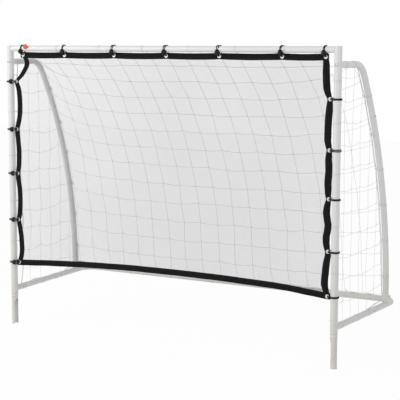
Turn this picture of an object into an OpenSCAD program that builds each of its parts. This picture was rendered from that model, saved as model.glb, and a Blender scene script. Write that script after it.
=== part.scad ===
// Pitch back rebounder: a steel goal frame on two ground spikes. An elastic mesh panel, hung
// in the mouth on ball ties, throws a ball back, and a net closes the roof, back and sides.
// The frame slips together at sleeve joints that lock with snap buttons.

/* [Frame] */
// Distance between the two post axes
post_spacing = 1792; // [1450:2:2200]
// Height of the crossbar axis above the base rails
crossbar_height = 1236; // [1000:2:1500]
// Distance of the side arms below the crossbar
arm_drop = 66; // [50:1:90]
// Straight run of an arm behind its post, before its bend
arm_run = 190; // [155:1:230]
// Radius of the arm's bend
arm_bend = 100; // [80:1:120]
// Distance from a post to the foot of its side tube
foot_run = 580; // [480:1:690]
// Height at which the side tube's curve turns upright
curve_start = 50; // [40:1:60]
// Straight run of a base rail, from the post to its rear bend
rail_run = 630; // [600:1:760]
// Radius of the base rail's rear bend
corner_bend = 70; // [55:1:85]
// Angle by which each side of the frame opens outwards
splay = 2.5; // [0:0.5:4]
// Reach of the spikes below the base rails
spike_reach = 186; // [155:1:224]

/* [Tubes] */
// Outside diameter of the posts and spikes
post_d = 35; // [33:0.5:42]
// Outside diameter of every other tube
bar_d = 30; // [28:0.5:33]
// Wall of every tube
tube_wall = 1.5; // [1.2:0.1:1.8]
// Gap round a sleeve inside its tube
sleeve_gap = 0.3; // [0.2:0.05:0.4]
// Length of every sleeve
sleeve_length = 70; // [60:1:84]
// Distance of a snap button or screw from its tube's end
button_inset = 35; // [28:1:42]
// Length of the arm between its bend and its sleeve joint
arm_tail = 186; // [150:1:225]
// Distance from the post to the sleeve joint of a base rail
rail_joint = 450; // [375:1:480]
// Length of the rear corner's stub, after its bend
corner_stub = 50; // [40:1:60]
// Distance of the crossbar's and rear bar's sleeve joint from the middle
middle_joint = 40; // [30:1:50]

/* [Snap buttons] */
// Diameter of a snap button
button_d = 7; // [6:0.5:8]
// Height of a snap button above its tube
button_proud = 3; // [2:0.5:4]

/* [Rebound panel] */
// Width of the webbing round the panel
webbing_w = 30; // [27:1:35]
// Thickness of the folded webbing
webbing_t = 3; // [2.4:0.1:3.6]
// Thickness of the rebound mesh
mesh_t = 0.8; // [0.6:0.1:0.9]
// Height of the lower ties above the base rails
lower_tie = 140; // [115:1:168]
// Rise of the lower webbing in the middle of the span
lower_bow = 37; // [25:1:45]
// Outside diameter of a grommet
grommet_d = 19; // [17:0.5:21]
// Bore of a grommet
grommet_bore = 12; // [12:0.5:13]
// Diameter of the elastic cord
cord_d = 5; // [4:0.5:5]
// Diameter of the ball on an elastic tie
ball_d = 22; // [20:1:26]

/* [Net] */
// Columns of the back net
net_columns = 14; // [10:1:16]
// Columns of a side net
side_columns = 5; // [4:1:7]
// Pitch of the side net's rows
side_pitch = 102; // [90:1:122]
// Thickness of the net's twine
twine = 2.4; // [2:0.2:3]
// Thickness of the side nets' edge rope
rope = 4; // [3:0.5:5]

/* [Hidden] */
$fn = 64;

// Radii and heights that several pieces share
post_r = post_d / 2;
bar_r = bar_d / 2;
cord_r = cord_d / 2;
ball_r = ball_d / 2;
seat_gap = 0.3;
half_span = post_spacing / 2;
arm_height = crossbar_height - arm_drop;
post_top = crossbar_height + bar_r;
cap_flange = 2;
sleeve_r = bar_r - tube_wall - sleeve_gap;
sleeve_bore = sleeve_r - tube_wall;
spigot_r = post_r - tube_wall - sleeve_gap;
joint_gap = 0.3;
weld_gap = 0.02;

// The side curve: a wide arc from the foot, met by the arm's bend with no kink
bend_rise = arm_height - arm_bend - curve_start;
bend_back = foot_run - arm_run;
arc_r = (bend_back * bend_back + bend_rise * bend_rise - arm_bend * arm_bend)
    / (2 * (bend_back - arm_bend));
arc_y = foot_run - arc_r;
bend_angle = atan2(bend_rise, arc_r - bend_back);
joint_angle = bend_angle - arc_degrees(arm_tail);
function arc_degrees(length) = length / arc_r * 180 / PI;
function on_arc(angle) = [arc_y + arc_r * cos(angle), curve_start + arc_r * sin(angle)];

// The rear corner, seen in its own side's frame and then in the whole frame's
corner_turn = 90 + splay;
stub_start = [-corner_bend * (1 + sin(splay)), rail_run + corner_bend * cos(splay)];
bar_y = stub_start[1] * cos(splay) - stub_start[0] * sin(splay);
stub_x = half_span + stub_start[0] * cos(splay) + stub_start[1] * sin(splay);
rear_joint = stub_x - corner_stub;

// Ball ties: place of the ball beside its tube, and the middle of the object front to back
tie_gap = 2;
function ball_aside(tube_r) = 8;
function ball_out(tube_r) = sqrt(pow(tube_r + ball_r + 0.6, 2) - pow(ball_aside(tube_r), 2));
front_reach = ball_out(post_r) + ball_r;
rear_reach = bar_y + bar_r + button_proud;
mid_y = (rear_reach - front_reach) / 2;

// Origin: on the floor under the spike tips, in the middle of the footprint
module at_base() {
    translate([0, -mid_y, spike_reach]) children();
}

// One side's own frame: x outwards, y back along the rail from the post axis, z up
module on_side(s) {
    at_base() mirror([s < 0 ? 1 : 0, 0, 0])
        translate([half_span, 0, 0]) rotate([0, 0, -splay]) children();
}

// Turns a drawing of the side view (x back, y up) upright in the side's frame
module side_view() {
    rotate([90, 0, 90]) children();
}

// ---- Tube forms -----------------------------------------------------------------------

// Straight tube along z
module pipe(r, length) {
    difference() {
        cylinder(r = r, h = length);
        translate([0, 0, -1]) cylinder(r = r - tube_wall, h = length + 2);
    }
}

// Straight tube along z whose far end is swaged down to a sleeve
module sleeved_pipe(r, inner_r, length) {
    end = length + sleeve_length;
    rotate_extrude() polygon([
        [r - tube_wall, 0], [r, 0], [r, length], [inner_r, length],
        [inner_r, end - 1], [inner_r - 1, end], [inner_r - tube_wall, end],
        [inner_r - tube_wall, length - 2], [r - tube_wall, length - 9]
    ]);
}

// Arc of tube in the xy plane about the origin, from angle a, turning by angle turn
module tube_arc(bend_r, r, bore_r, a, turn) {
    rotate([0, 0, a]) rotate_extrude(angle = turn, $fn = 360) translate([bend_r, 0])
        difference() {
            circle(r = r, $fn = 64);
            circle(r = bore_r, $fn = 64);
        }
}

// Backing ring inside the butt weld of two tubes that run along y
module weld_ring(r) {
    rotate([90, 0, 0]) difference() {
        cylinder(r = r - tube_wall / 2, h = 12, center = true);
        cylinder(r = r - 2 * tube_wall, h = 14, center = true);
    }
}

// Bent tube that starts at the origin along y and turns left through angle a; children
// are welded to its far end
module bend(bend_r, r, a) {
    translate([-bend_r, 0, 0]) {
        tube_arc(bend_r, r, r - tube_wall, 0, a);
        if ($children > 0) rotate([0, 0, a]) translate([bend_r, 0, 0]) {
            weld_ring(r);
            translate([0, weld_gap, 0]) children();
        }
    }
}

// Solid peg along z that drills a snap button's hole
module button_hole() {
    cylinder(d = button_d + 2 * seat_gap, h = 2 * post_r);
}

// Solid peg along z that drills a screw's hole
screw_d = 4.2;
screw_clearance = 0.2;
module screw_hole() {
    cylinder(d = screw_d + 2 * screw_clearance, h = 2 * post_r);
}

// ---- Places of the snap buttons: z points out of the tube, x runs along it ---------------

module at_crossbar_button() {
    at_base() translate([-middle_joint - button_inset, 0, crossbar_height])
        rotate([-90, 0, 0]) children();
}

post_button_inset = 27;
module at_crossbar_end_button(s) {
    at_base() translate([s * (half_span - post_r - post_button_inset), 0, crossbar_height])
        rotate([-90, 0, 0]) children();
}

module at_rear_bar_button() {
    at_base() translate([-middle_joint - button_inset, bar_y, 0])
        rotate([-90, 0, 0]) children();
}

// The side parts are alike left and right, so their buttons all face the same way
module at_side_button(s) {
    angle = joint_angle - arc_degrees(button_inset);
    on_side(s) translate([0, on_arc(angle)[0], on_arc(angle)[1]])
        rotate([angle, 0, 0]) rotate([0, s * 90, 0]) children();
}

module at_rail_button(s) {
    on_side(s) translate([0, rail_joint - button_inset, 0])
        rotate([90, 0, s * 90]) children();
}

// ---- Places of the screws: z points out of the tube ---------------------------------------

spike_screw_height = 32;
spike_joint = 24;
module at_spike_screw(s) {
    on_side(s) translate([0, 0, spike_screw_height]) rotate([0, -90, 0]) children();
}

module at_rail_screw(s) {
    on_side(s) translate([0, post_r + button_inset, 0]) rotate([0, -90, 0]) children();
}

foot_screw_height = 45;
module at_foot_screw(s) {
    on_side(s) translate([0, foot_run, foot_screw_height]) rotate([0, -90, 0]) children();
}

module at_rear_screw(s) {
    at_base() translate([s * (rear_joint - button_inset), bar_y, 0])
        rotate([-90, 0, 0]) children();
}

// ---- Frame tubes -------------------------------------------------------------------------

bolt_d = 8;
bolt_clearance = 0.3;
fit_gap = 0.5;

// Post with its two welded stubs: one for the crossbar, one for the base rail
module post(s) {
    color("white") difference() {
        on_side(s) difference() {
            union() {
                translate([0, 0, -spike_joint])
                    cylinder(r = post_r, h = post_top - cap_flange + spike_joint);
                rotate([-90, 0, 0]) cylinder(r = sleeve_r, h = post_r + sleeve_length);
                translate([0, 0, crossbar_height]) rotate([0, -90, splay])
                    cylinder(r = sleeve_r, h = post_r + sleeve_length);
            }
            translate([0, 0, -spike_joint - 1])
                cylinder(r = post_r - tube_wall, h = post_top + spike_joint + 2);
            translate([0, post_r, 0]) rotate([-90, 0, 0])
                cylinder(r = sleeve_r - tube_wall, h = sleeve_length + 1);
            translate([0, 0, crossbar_height]) rotate([0, -90, splay])
                translate([0, 0, post_r])
                    cylinder(r = sleeve_r - tube_wall, h = sleeve_length + 1);
            translate([0, -post_d, arm_height]) rotate([-90, 0, 0])
                cylinder(d = bolt_d + 2 * bolt_clearance, h = 2 * post_d);
        }
        at_crossbar_end_button(s) button_hole();
        at_spike_screw(s) screw_hole();
        at_rail_screw(s) screw_hole();
    }
}

// Bare post, grown by a gap, that notches whatever meets it
module post_notch(s, gap) {
    on_side(s) translate([0, 0, -spike_reach])
        cylinder(r = post_r + gap, h = spike_reach + post_top + 10);
}

module crossbar_left() {
    length = half_span - middle_joint - joint_gap;
    color("white") difference() {
        at_base() translate([-half_span, 0, crossbar_height]) rotate([0, 90, 0])
            pipe(bar_r, length);
        post_notch(-1, fit_gap);
        at_crossbar_button() button_hole();
        at_crossbar_end_button(-1) button_hole();
    }
}

module crossbar_right() {
    length = half_span + middle_joint;
    color("white") difference() {
        at_base() translate([half_span, 0, crossbar_height]) rotate([0, -90, 0])
            sleeved_pipe(bar_r, sleeve_r, length);
        post_notch(1, fit_gap);
        at_crossbar_button() button_hole();
        at_crossbar_end_button(1) button_hole();
    }
}

saddle_t = 6;
arm_start = post_r + saddle_t;

// Tube along the side curve, between two distances up it from the sleeve joint
module curve_tube(s, r, bore_r, low, high) {
    on_side(s) side_view() translate([arc_y, curve_start, 0])
        tube_arc(arc_r, r, bore_r, joint_angle + arc_degrees(low), arc_degrees(high - low));
}

// Arm: up the side curve from the sleeve joint, round the bend and straight in to the post,
// with a drilled sleeve welded into its lower end
module arm(s) {
    root = 5;
    color("white") {
        difference() {
            curve_tube(s, sleeve_r, sleeve_bore, -sleeve_length, root);
            at_side_button(s) button_hole();
        }
        curve_tube(s, bar_r - tube_wall / 2, sleeve_bore + 0.5, 0.5, root + 0.5);
        on_side(s) side_view() translate([arc_y, curve_start, 0]) rotate([0, 0, joint_angle])
            translate([arc_r, 0, 0]) bend(arc_r, bar_r, arc_degrees(arm_tail))
            bend(arm_bend, bar_r, 90 - bend_angle)
            rotate([-90, 0, 0]) pipe(bar_r, arm_run - arm_start);
    }
}

module side_tube(s) {
    color("white") difference() {
        on_side(s) side_view() translate([foot_run, 0, 0]) {
            rotate([-90, 0, 0]) pipe(bar_r, curve_start);
            translate([0, curve_start, 0])
                bend(arc_r, bar_r, joint_angle - arc_degrees(joint_gap));
        }
        on_side(s) translate([0, foot_run - post_d, 0]) rotate([-90, 0, 0])
            cylinder(r = bar_r + fit_gap, h = 2 * post_d);
        at_side_button(s) button_hole();
        at_foot_screw(s) screw_hole();
    }
}

module rail_front(s) {
    color("white") difference() {
        on_side(s) rotate([-90, 0, 0]) pipe(bar_r, rail_joint);
        post_notch(s, fit_gap);
        at_rail_button(s) button_hole();
        at_rail_screw(s) screw_hole();
    }
}

// Rear length of the rail: sleeve to the front, upright stub for the side tube, bent corner
module rail_corner(s) {
    color("white") {
        difference() {
            on_side(s) union() {
                translate([0, rail_run, 0]) rotate([90, 0, 0])
                    sleeved_pipe(bar_r, sleeve_r, rail_run - rail_joint - joint_gap);
                foot_stub();
            }
            at_rail_button(s) button_hole();
            at_foot_screw(s) screw_hole();
        }
        on_side(s) translate([0, rail_run, 0])
            bend(corner_bend, bar_r, corner_turn) difference() {
                rotate([-90, 0, 0]) sleeved_pipe(bar_r, sleeve_r, corner_stub);
                translate([0, corner_stub + button_inset, 0]) rotate([0, 90, 0]) screw_hole();
            }
    }
}

// Stub welded upright on the rail, that the side tube slips over
module foot_stub() {
    translate([0, foot_run, 0]) difference() {
        cylinder(r = sleeve_r, h = bar_r + sleeve_length);
        cylinder(r = sleeve_bore, h = bar_d + sleeve_length);
        rotate([90, 0, 0]) cylinder(r = bar_r - tube_wall / 2, h = bar_d, center = true);
    }
}

module rear_bar_left() {
    length = rear_joint - middle_joint - 2 * joint_gap;
    color("white") difference() {
        at_base() translate([-rear_joint + joint_gap, bar_y, 0]) rotate([0, 90, 0])
            pipe(bar_r, length);
        at_rear_bar_button() button_hole();
        at_rear_screw(-1) screw_hole();
    }
}

module rear_bar_right() {
    length = rear_joint + middle_joint - joint_gap;
    color("white") difference() {
        at_base() translate([rear_joint - joint_gap, bar_y, 0]) rotate([0, -90, 0])
            sleeved_pipe(bar_r, sleeve_r, length);
        at_rear_bar_button() button_hole();
        at_rear_screw(1) screw_hole();
    }
}

neck_length = 24;
neck_step = 0.5;
gouge_step = 0.5;
gouge_full = 85;
gouge_from = 150;
gouge_to = 244;

// Spike: swaged top inside the post, round neck, then a gouge that the pressing draws
// slightly narrower, open to the front and inside
module spike(s) {
    shoulder = spike_joint + joint_gap;
    neck_r = post_r - neck_step;
    gouge_r = neck_r - gouge_step;
    gouge_start = shoulder + neck_length + gouge_step;
    bore = neck_r - tube_wall;
    mouth = 3 * post_r;
    color("white") difference() {
        on_side(s) difference() {
            rotate_extrude() polygon([
                [bore - gouge_step, -spike_reach], [gouge_r, -spike_reach],
                [gouge_r, -gouge_start], [neck_r, -gouge_start + gouge_step],
                [neck_r, -shoulder], [spigot_r, -shoulder],
                [spigot_r, sleeve_length - shoulder - 1],
                [spigot_r - 1, sleeve_length - shoulder],
                [spigot_r - tube_wall, sleeve_length - shoulder],
                [spigot_r - tube_wall, -shoulder - 2], [bore, -shoulder - 4],
                [bore, -gouge_start + gouge_step], [bore - gouge_step, -gouge_start]
            ]);
            intersection() {
                translate([0, 0, -spike_reach - 1]) linear_extrude(spike_reach) polygon([
                    [0, 0],
                    for (a = [gouge_from : (gouge_to - gouge_from) / 4 : gouge_to])
                        [mouth * cos(a), mouth * sin(a)]
                ]);
                translate([-post_r, 0, -gouge_start])
                    rotate([0, atan2(gouge_full - gouge_start, post_r), 0])
                    translate([-2 * post_d, -2 * post_d, -2 * spike_reach])
                    cube([4 * post_d, 4 * post_d, 2 * spike_reach]);
            }
        }
        at_spike_screw(s) screw_hole();
    }
}

// ---- Frame fixings -----------------------------------------------------------------------

module post_caps() {
    plug = 14;
    color("white") for (s = [-1, 1]) on_side(s) translate([0, 0, post_top - cap_flange]) {
        cylinder(r = post_r, h = cap_flange);
        translate([0, 0, -plug]) cylinder(r = post_r - tube_wall - 0.1, h = plug);
    }
}

// Plastic saddle that seats the arm's square end on the round post
module arm_saddles() {
    color("white") for (s = [-1, 1]) difference() {
        on_side(s) translate([0, 0, arm_height]) rotate([-90, 0, 0])
            cylinder(r = bar_r, h = arm_start - 0.1);
        post_notch(s, 0.1);
        on_side(s) translate([0, 0, arm_height]) rotate([-90, 0, 0])
            cylinder(d = bolt_d + 2 * bolt_clearance, h = post_d);
    }
}

insert_length = 20;
module arm_inserts() {
    color("darkgray") for (s = [-1, 1]) on_side(s)
        translate([0, arm_start, arm_height]) rotate([-90, 0, 0]) difference() {
            cylinder(r = bar_r - tube_wall - 0.1, h = insert_length);
            translate([0, 0, -1]) cylinder(d = bolt_d + 0.2, h = insert_length + 2);
        }
}

washer_d = 20;
washer_t = 2;
module arm_washers() {
    color("silver") for (s = [-1, 1]) difference() {
        on_side(s) translate([0, -post_r - washer_t, arm_height]) rotate([-90, 0, 0])
            cylinder(d = washer_d, h = post_r);
        post_notch(s, 0.1);
        on_side(s) translate([0, -post_d, arm_height]) rotate([-90, 0, 0])
            cylinder(d = bolt_d + 2 * bolt_clearance, h = post_d);
    }
}

bolt_head_d = 14;
bolt_head_t = 4.4;
// Button-head bolt with a hexagon socket, through the post into the arm's insert
module arm_bolts() {
    reach = post_r + washer_t + arm_start + insert_length - 2;
    color("silver") for (s = [-1, 1]) on_side(s)
        translate([0, -post_r - washer_t - 0.1, arm_height]) rotate([-90, 0, 0]) {
            cylinder(d = bolt_d, h = reach);
            difference() {
                translate([0, 0, -bolt_head_t]) intersection() {
                    cylinder(d = bolt_head_d, h = bolt_head_t);
                    translate([0, 0, bolt_head_d * 0.62]) sphere(r = bolt_head_d * 0.62);
                }
                translate([0, 0, -bolt_head_t - 1]) cylinder(d = 5.8, h = 3.5, $fn = 6);
            }
        }
}

screw_head_d = 8.5;
screw_head_t = 2.6;
screw_length = 9;

// Pan-head screw standing on a tube of radius r, seen from the tube's axis
module frame_screw(r) {
    translate([0, 0, r + 0.1]) difference() {
        union() {
            cylinder(d1 = screw_head_d, d2 = screw_head_d - 2.4, h = screw_head_t);
            translate([0, 0, -screw_length]) cylinder(d = screw_d, h = screw_length);
        }
        translate([-0.5, -2.6, screw_head_t - 1.2]) cube([1, 5.2, 2]);
        translate([-2.6, -0.5, screw_head_t - 1.2]) cube([5.2, 1, 2]);
    }
}

module frame_screws() {
    color("silver") for (s = [-1, 1]) {
        at_spike_screw(s) frame_screw(post_r);
        at_rail_screw(s) frame_screw(bar_r);
        at_foot_screw(s) frame_screw(bar_r);
        at_rear_screw(s) frame_screw(bar_r);
    }
}

// ---- Snap buttons and their springs --------------------------------------------------------

collar_d = button_d + 2.5;
collar_t = 1;
collar_top = sqrt(pow(sleeve_bore, 2) - pow(collar_d / 2, 2)) - seat_gap;
button_base = collar_top - collar_t;

// Button: collar held inside the sleeve, shank through both tubes, chamfered head
module snap_button() {
    tip = bar_r + button_proud;
    color("lightgray") rotate_extrude() polygon([
        [0, button_base], [collar_d / 2, button_base], [collar_d / 2, collar_top],
        [button_d / 2, collar_top], [button_d / 2, tip - 1.2], [button_d / 2 - 1.2, tip],
        [0, tip]
    ]);
}

spring_w = 6;
spring_t = 0.6;
spring_back = 26;
spring_front = 6;

// V spring: one leg under the button, the other on the far side of the sleeve's bore
module snap_spring() {
    top = button_base - 0.05;
    low = -sqrt(pow(sleeve_bore, 2) - pow(spring_w / 2, 2)) + 0.2;
    color("gray") rotate([90, 0, 0]) translate([0, 0, -spring_w / 2])
        linear_extrude(spring_w) difference() {
            polygon([
                [spring_front, top], [-spring_front, top], [-spring_back, 1.4],
                [-spring_back, -1.4], [spring_front, low]
            ]);
            polygon([
                [spring_front + 1, top - spring_t], [-spring_front + 0.2, top - spring_t],
                [-spring_back + spring_t, 1], [-spring_back + spring_t, -1],
                [spring_front + 1, low + spring_t]
            ]);
        }
}

// ---- Rebound panel -----------------------------------------------------------------------

// Ties along the crossbar, as shares of the half span, from left to right
top_ties = [-0.91, -0.625, -0.3, 0.027, 0.344, 0.7, 0.935];
// Ties along each post, as shares of the height between the lower tie and the crossbar
left_ties = [0, 0.203, 0.421, 0.627, 0.848];
right_ties = [0, 0.185, 0.4, 0.598, 0.803];
// Inward bow of each stretch of side webbing between ties, from the bottom up
left_bows = [12, 14, 12, 14, 34];
right_bows = [12, 12, 10, 12, 14];
// Droop of the top webbing between ties
top_bow = 5;

side_x = half_span - post_r - tie_gap - webbing_w / 2;
top_z = crossbar_height - bar_r - tie_gap - webbing_w / 2;
tie_rise = crossbar_height - lower_tie;
left_tie_z = concat([for (f = left_ties) lower_tie + f * tie_rise], [top_z]);
right_tie_z = concat([for (f = right_ties) lower_tie + f * tie_rise], [top_z]);
left_tie_x = concat([for (f = left_ties) side_x], [-top_ties[0] * half_span]);
right_tie_x = concat([for (f = right_ties) side_x], [top_ties[6] * half_span]);

function span_of(z, zs) = max([0, for (i = [0 : len(zs) - 2]) z >= zs[i] ? i : 0]);
function share_in(z, zs, i) = min(1, max(0, (z - zs[i]) / (zs[i + 1] - zs[i])));
// Distance of the side webbing's middle line from the goal's middle, at height z
function webbing_x(z, zs, xs, bows) =
    let (i = span_of(z, zs), t = share_in(z, zs, i))
    xs[i] + (xs[i + 1] - xs[i]) * t - bows[i] * sin(180 * t);
function left_x(z) = -webbing_x(z, left_tie_z, left_tie_x, left_bows);
function right_x(z) = webbing_x(z, right_tie_z, right_tie_x, right_bows);
// Height of the webbing's middle line at x
function lower_z(x) = lower_tie + lower_bow * (1 - pow(x / side_x, 2));
function upper_z(x) =
    let (f = min(top_ties[6], max(top_ties[0], x / half_span)), i = span_of(f, top_ties))
    top_z - top_bow * sin(180 * share_in(f, top_ties, min(i, 5)));

edge_steps = 60;
function steps(a, b) = [for (i = [0 : edge_steps]) a + (b - a) * i / edge_steps];

// Outline of the panel, brought in by d from the webbing's outer edge
function panel_outline(d) =
    let (
        in = webbing_w / 2 - d,
        low = lower_tie - in,
        high = top_z + in,
        corners = [left_x(low) - in, right_x(low) + in, right_x(high) + in, left_x(high) - in]
    )
    concat(
        [for (x = steps(corners[0], corners[1])) [x, lower_z(min(side_x, max(-side_x, x))) - in]],
        [for (z = steps(low, high)) if (z > low && z < high) [right_x(z) + in, z]],
        [for (x = steps(corners[2], corners[3])) [x, upper_z(x) + in]],
        [for (z = steps(high, low)) if (z > low && z < high) [left_x(z) - in, z]]
    );

mesh_tuck = 6.5;

// Stands a drawing of the front view (x across, y up) upright in the mouth, t thick
module in_mouth(t) {
    at_base() translate([0, t / 2, 0]) rotate([90, 0, 0]) linear_extrude(t) children();
}

module rebound_mesh() {
    color("lightgray") in_mouth(mesh_t)
        polygon(panel_outline(webbing_w - mesh_tuck));
}

// Front view of the whole webbing border
module border_shape() {
    difference() {
        polygon(panel_outline(0));
        polygon(panel_outline(webbing_w));
    }
}

// Webbing folded over the mesh edge: a slot takes the mesh, and a hole takes each grommet
module webbing_strip() {
    difference() {
        in_mouth(webbing_t) intersection() {
            border_shape();
            children();
        }
        in_mouth(mesh_t + 0.2) polygon(panel_outline(webbing_w - mesh_tuck - 0.5));
        for (p = grommet_points) at_base() translate([p[0], 0, p[1]]) rotate([90, 0, 0])
            cylinder(d = grommet_bore + 2.4, h = 2 * webbing_t, center = true);
    }
}

module top_band() {
    translate([-half_span, top_z - webbing_w / 2 - top_bow - 1])
        square([post_spacing, webbing_w + 2 * top_bow + 1]);
}

module bottom_band() {
    band = webbing_w / 2 + 1;
    polygon(concat(
        [for (x = steps(-half_span, half_span)) [x, lower_z(max(-side_x, min(side_x, x))) + band]],
        [[half_span, 0], [-half_span, 0]]
    ));
}

module half_mouth(s) {
    difference() {
        translate([s < 0 ? -half_span : 0, 0]) square([half_span, crossbar_height]);
        top_band();
        bottom_band();
    }
}

module webbing_top() {
    color("dimgray") webbing_strip() top_band();
}

module webbing_bottom() {
    color("dimgray") webbing_strip() bottom_band();
}

module webbing_left() {
    color("dimgray") webbing_strip() half_mouth(-1);
}

module webbing_right() {
    color("dimgray") webbing_strip() half_mouth(1);
}

grommet_points = concat(
    [for (f = top_ties) [f * half_span, top_z]],
    [for (f = left_ties) [-side_x, lower_tie + f * tie_rise]],
    [for (f = right_ties) [side_x, lower_tie + f * tie_rise]]
);

// Two-part eyelet: a barrel through the webbing and a flange on each face
module grommet() {
    inner = grommet_bore / 2;
    outer = grommet_d / 2;
    half = webbing_t / 2 + 0.1;
    rotate_extrude() polygon([
        [inner, -half - 1], [outer - 1, -half - 1], [outer, -half], [inner + 1, -half],
        [inner + 1, half], [outer, half], [outer - 1, half + 1], [inner, half + 1]
    ]);
}

module grommets() {
    color("silver") for (p = grommet_points)
        at_base() translate([p[0], 0, p[1]]) rotate([90, 0, 0]) grommet();
}

// ---- Ball ties ---------------------------------------------------------------------------

// A tie's own frame: z along its tube, x towards the grommet, y to the back of the ball
module at_top_tie(i) {
    at_base() translate([top_ties[i] * half_span, 0, crossbar_height])
        rotate([0, 90, 0]) children();
}

module at_left_tie(i) {
    at_base() translate([-half_span, 0, lower_tie + left_ties[i] * tie_rise]) children();
}

module at_right_tie(i) {
    at_base() translate([half_span, 0, lower_tie + right_ties[i] * tie_rise])
        rotate([0, 0, 180]) children();
}

strand_apart = 3.2;
wrap_start = 226;
wrap_step = 54;
// Where a strand lies over the ball, as directions from the ball's middle
over_ball = [[0.2, 0, 1], [-0.33, -0.25, 0.91], [-0.74, -0.4, 0.55]];

// One strand, k = -1 or 1: from the ball, round the tube, through the grommet and back
function strand(tube_r, lean, k) =
    let (
        wrap = (tube_r + cord_r + 0.2) / cos(wrap_step / 2),
        hole = tube_r + tie_gap + webbing_w / 2,
        ball = ball_place(tube_r, lean),
        p = k * strand_apart
    )
    concat(
        [ball + (ball_r + 0.6) * unit([-0.85, 0.5, 0.3 * k])],
        [for (i = [0 : 3]) let (a = wrap_start - wrap_step * i)
            [wrap * cos(a), wrap * sin(a), p + lean * (1 - i / 3)]],
        [[hole - 1, 4, p], [hole + 0.5, -4, p]],
        [[(hole + ball[0]) / 2 + 4, ball[1] * 0.62, p + lean + k * 2.5]],
        [for (v = over_ball) ball + loop_r * unit([v[0], v[1], v[2] * k])]
    );

function ball_place(tube_r, lean) = [ball_aside(tube_r), -ball_out(tube_r), lean];
loop_r = ball_r + cord_r + 0.8;

// A tie's whole cord: one strand out, over the ball's neck, and the other strand back
function tie_route(tube_r, lean) =
    let (back = strand(tube_r, lean, 1), n = len(back))
    concat(
        strand(tube_r, lean, -1),
        [ball_place(tube_r, lean) + loop_r * unit([-0.84, -0.55, 0])],
        [for (i = [1 : n]) back[n - i]]
    );

function unit(v) = v / norm(v);
function way(path, i) = unit(path[min(i + 1, len(path) - 1)] - path[max(i - 1, 0)]);
// Each ring's first spoke is carried on from the ring before, so the tube doesn't twist
function spokes(path, i, last, found) = i == len(path) ? found
    : let (w = way(path, i), v = unit(last - w * (last * w)))
    spokes(path, i + 1, v, concat(found, [v]));

cord_sides = 6;
// Unbroken cord of radius r along a path of points
module swept_cord(path, r) {
    n = len(path);
    first = spokes(path, 0, [0, 0, 1], []);
    points = [for (i = [0 : n - 1]) for (k = [0 : cord_sides - 1])
        let (w = way(path, i), u = first[i], v = cross(w, u), a = 360 * k / cord_sides)
        path[i] + r * (cos(a) * u + sin(a) * v)];
    walls = [for (i = [0 : n - 2]) for (k = [0 : cord_sides - 1])
        let (a = i * cord_sides + k, b = i * cord_sides + (k + 1) % cord_sides)
        each [[a, a + cord_sides, b], [b, a + cord_sides, b + cord_sides]]];
    near = [for (k = [1 : cord_sides - 2]) [0, k, k + 1]];
    last = (n - 1) * cord_sides;
    far = [for (k = [1 : cord_sides - 2]) [last, last + k + 1, last + k]];
    polyhedron(points = points, faces = concat(walls, near, far));
}

top_lean = -12;
side_lean = 0;

module bungee_cords() {
    color("dimgray") {
        for (i = [0 : len(top_ties) - 1]) at_top_tie(i)
            swept_cord(tie_route(bar_r, top_lean), cord_r);
        for (i = [0 : len(left_ties) - 1]) at_left_tie(i)
            swept_cord(tie_route(post_r, side_lean), cord_r);
        for (i = [0 : len(right_ties) - 1]) at_right_tie(i)
            swept_cord(tie_route(post_r, side_lean), cord_r);
    }
}

module bungee_ball(tube_r, lean) {
    translate(ball_place(tube_r, lean)) sphere(r = ball_r);
}

module bungee_balls() {
    color("dimgray") {
        for (i = [0 : len(top_ties) - 1]) at_top_tie(i) bungee_ball(bar_r, top_lean);
        for (i = [0 : len(left_ties) - 1]) at_left_tie(i) bungee_ball(post_r, side_lean);
        for (i = [0 : len(right_ties) - 1]) at_right_tie(i) bungee_ball(post_r, side_lean);
    }
}

tab_side = 20;
tab_t = 1;
// Plain square tab, point down, on the crossbar beside the first top tie
module red_tab() {
    color("red") at_base()
        translate([top_ties[0] * half_span + 23, -bar_r - tab_t - 0.3, crossbar_height + 9])
        rotate([90, 45, 0]) translate([-tab_side / 2, -tab_side / 2, -tab_t])
        linear_extrude(tab_t) square(tab_side);
}

// ---- Net ---------------------------------------------------------------------------------

// The side nets hang just inside the tubes
net_inset = bar_r + button_proud + rope / 2 + 0.7;
// The net's front edge is set back behind the right post, where the tie balls sit
function net_front(s) = post_r + (s < 0 ? 6.5 : 2 * ball_r + 0.8);
net_floor = bar_r + 3;

arc_rows = 9;
net_twine = twine / 2;
tie_t = 1;
tie_w = 2.4;
// Radius of a net tie's loop round a square cord of half width h
function tie_hole(h) = h * sqrt(2) + 0.2;
// Side view of the back net's edge along the side tube, row by row from the crossbar to
// the rear bar
net_rows = concat(
    [[crossbar_height > 0 ? bar_r + cord_d + 4.5 : 0, crossbar_height - 10]],
    [[arm_run * 0.4, arm_height], [arm_run, arm_height]],
    [[arm_run + arm_bend * cos((90 + bend_angle) / 2),
        arm_height - arm_bend + arm_bend * sin((90 + bend_angle) / 2)]],
    [for (i = [0 : arc_rows - 1]) on_arc(bend_angle * (1 - i / (arc_rows - 1)))],
    [[bar_y, net_floor]]
);

// Half width of the back net at a distance y behind the posts
function net_half(y) =
    half_span + y * tan(splay) - net_inset - tie_hole(rope / 2) - tie_t - net_twine - seat_gap;

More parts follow.
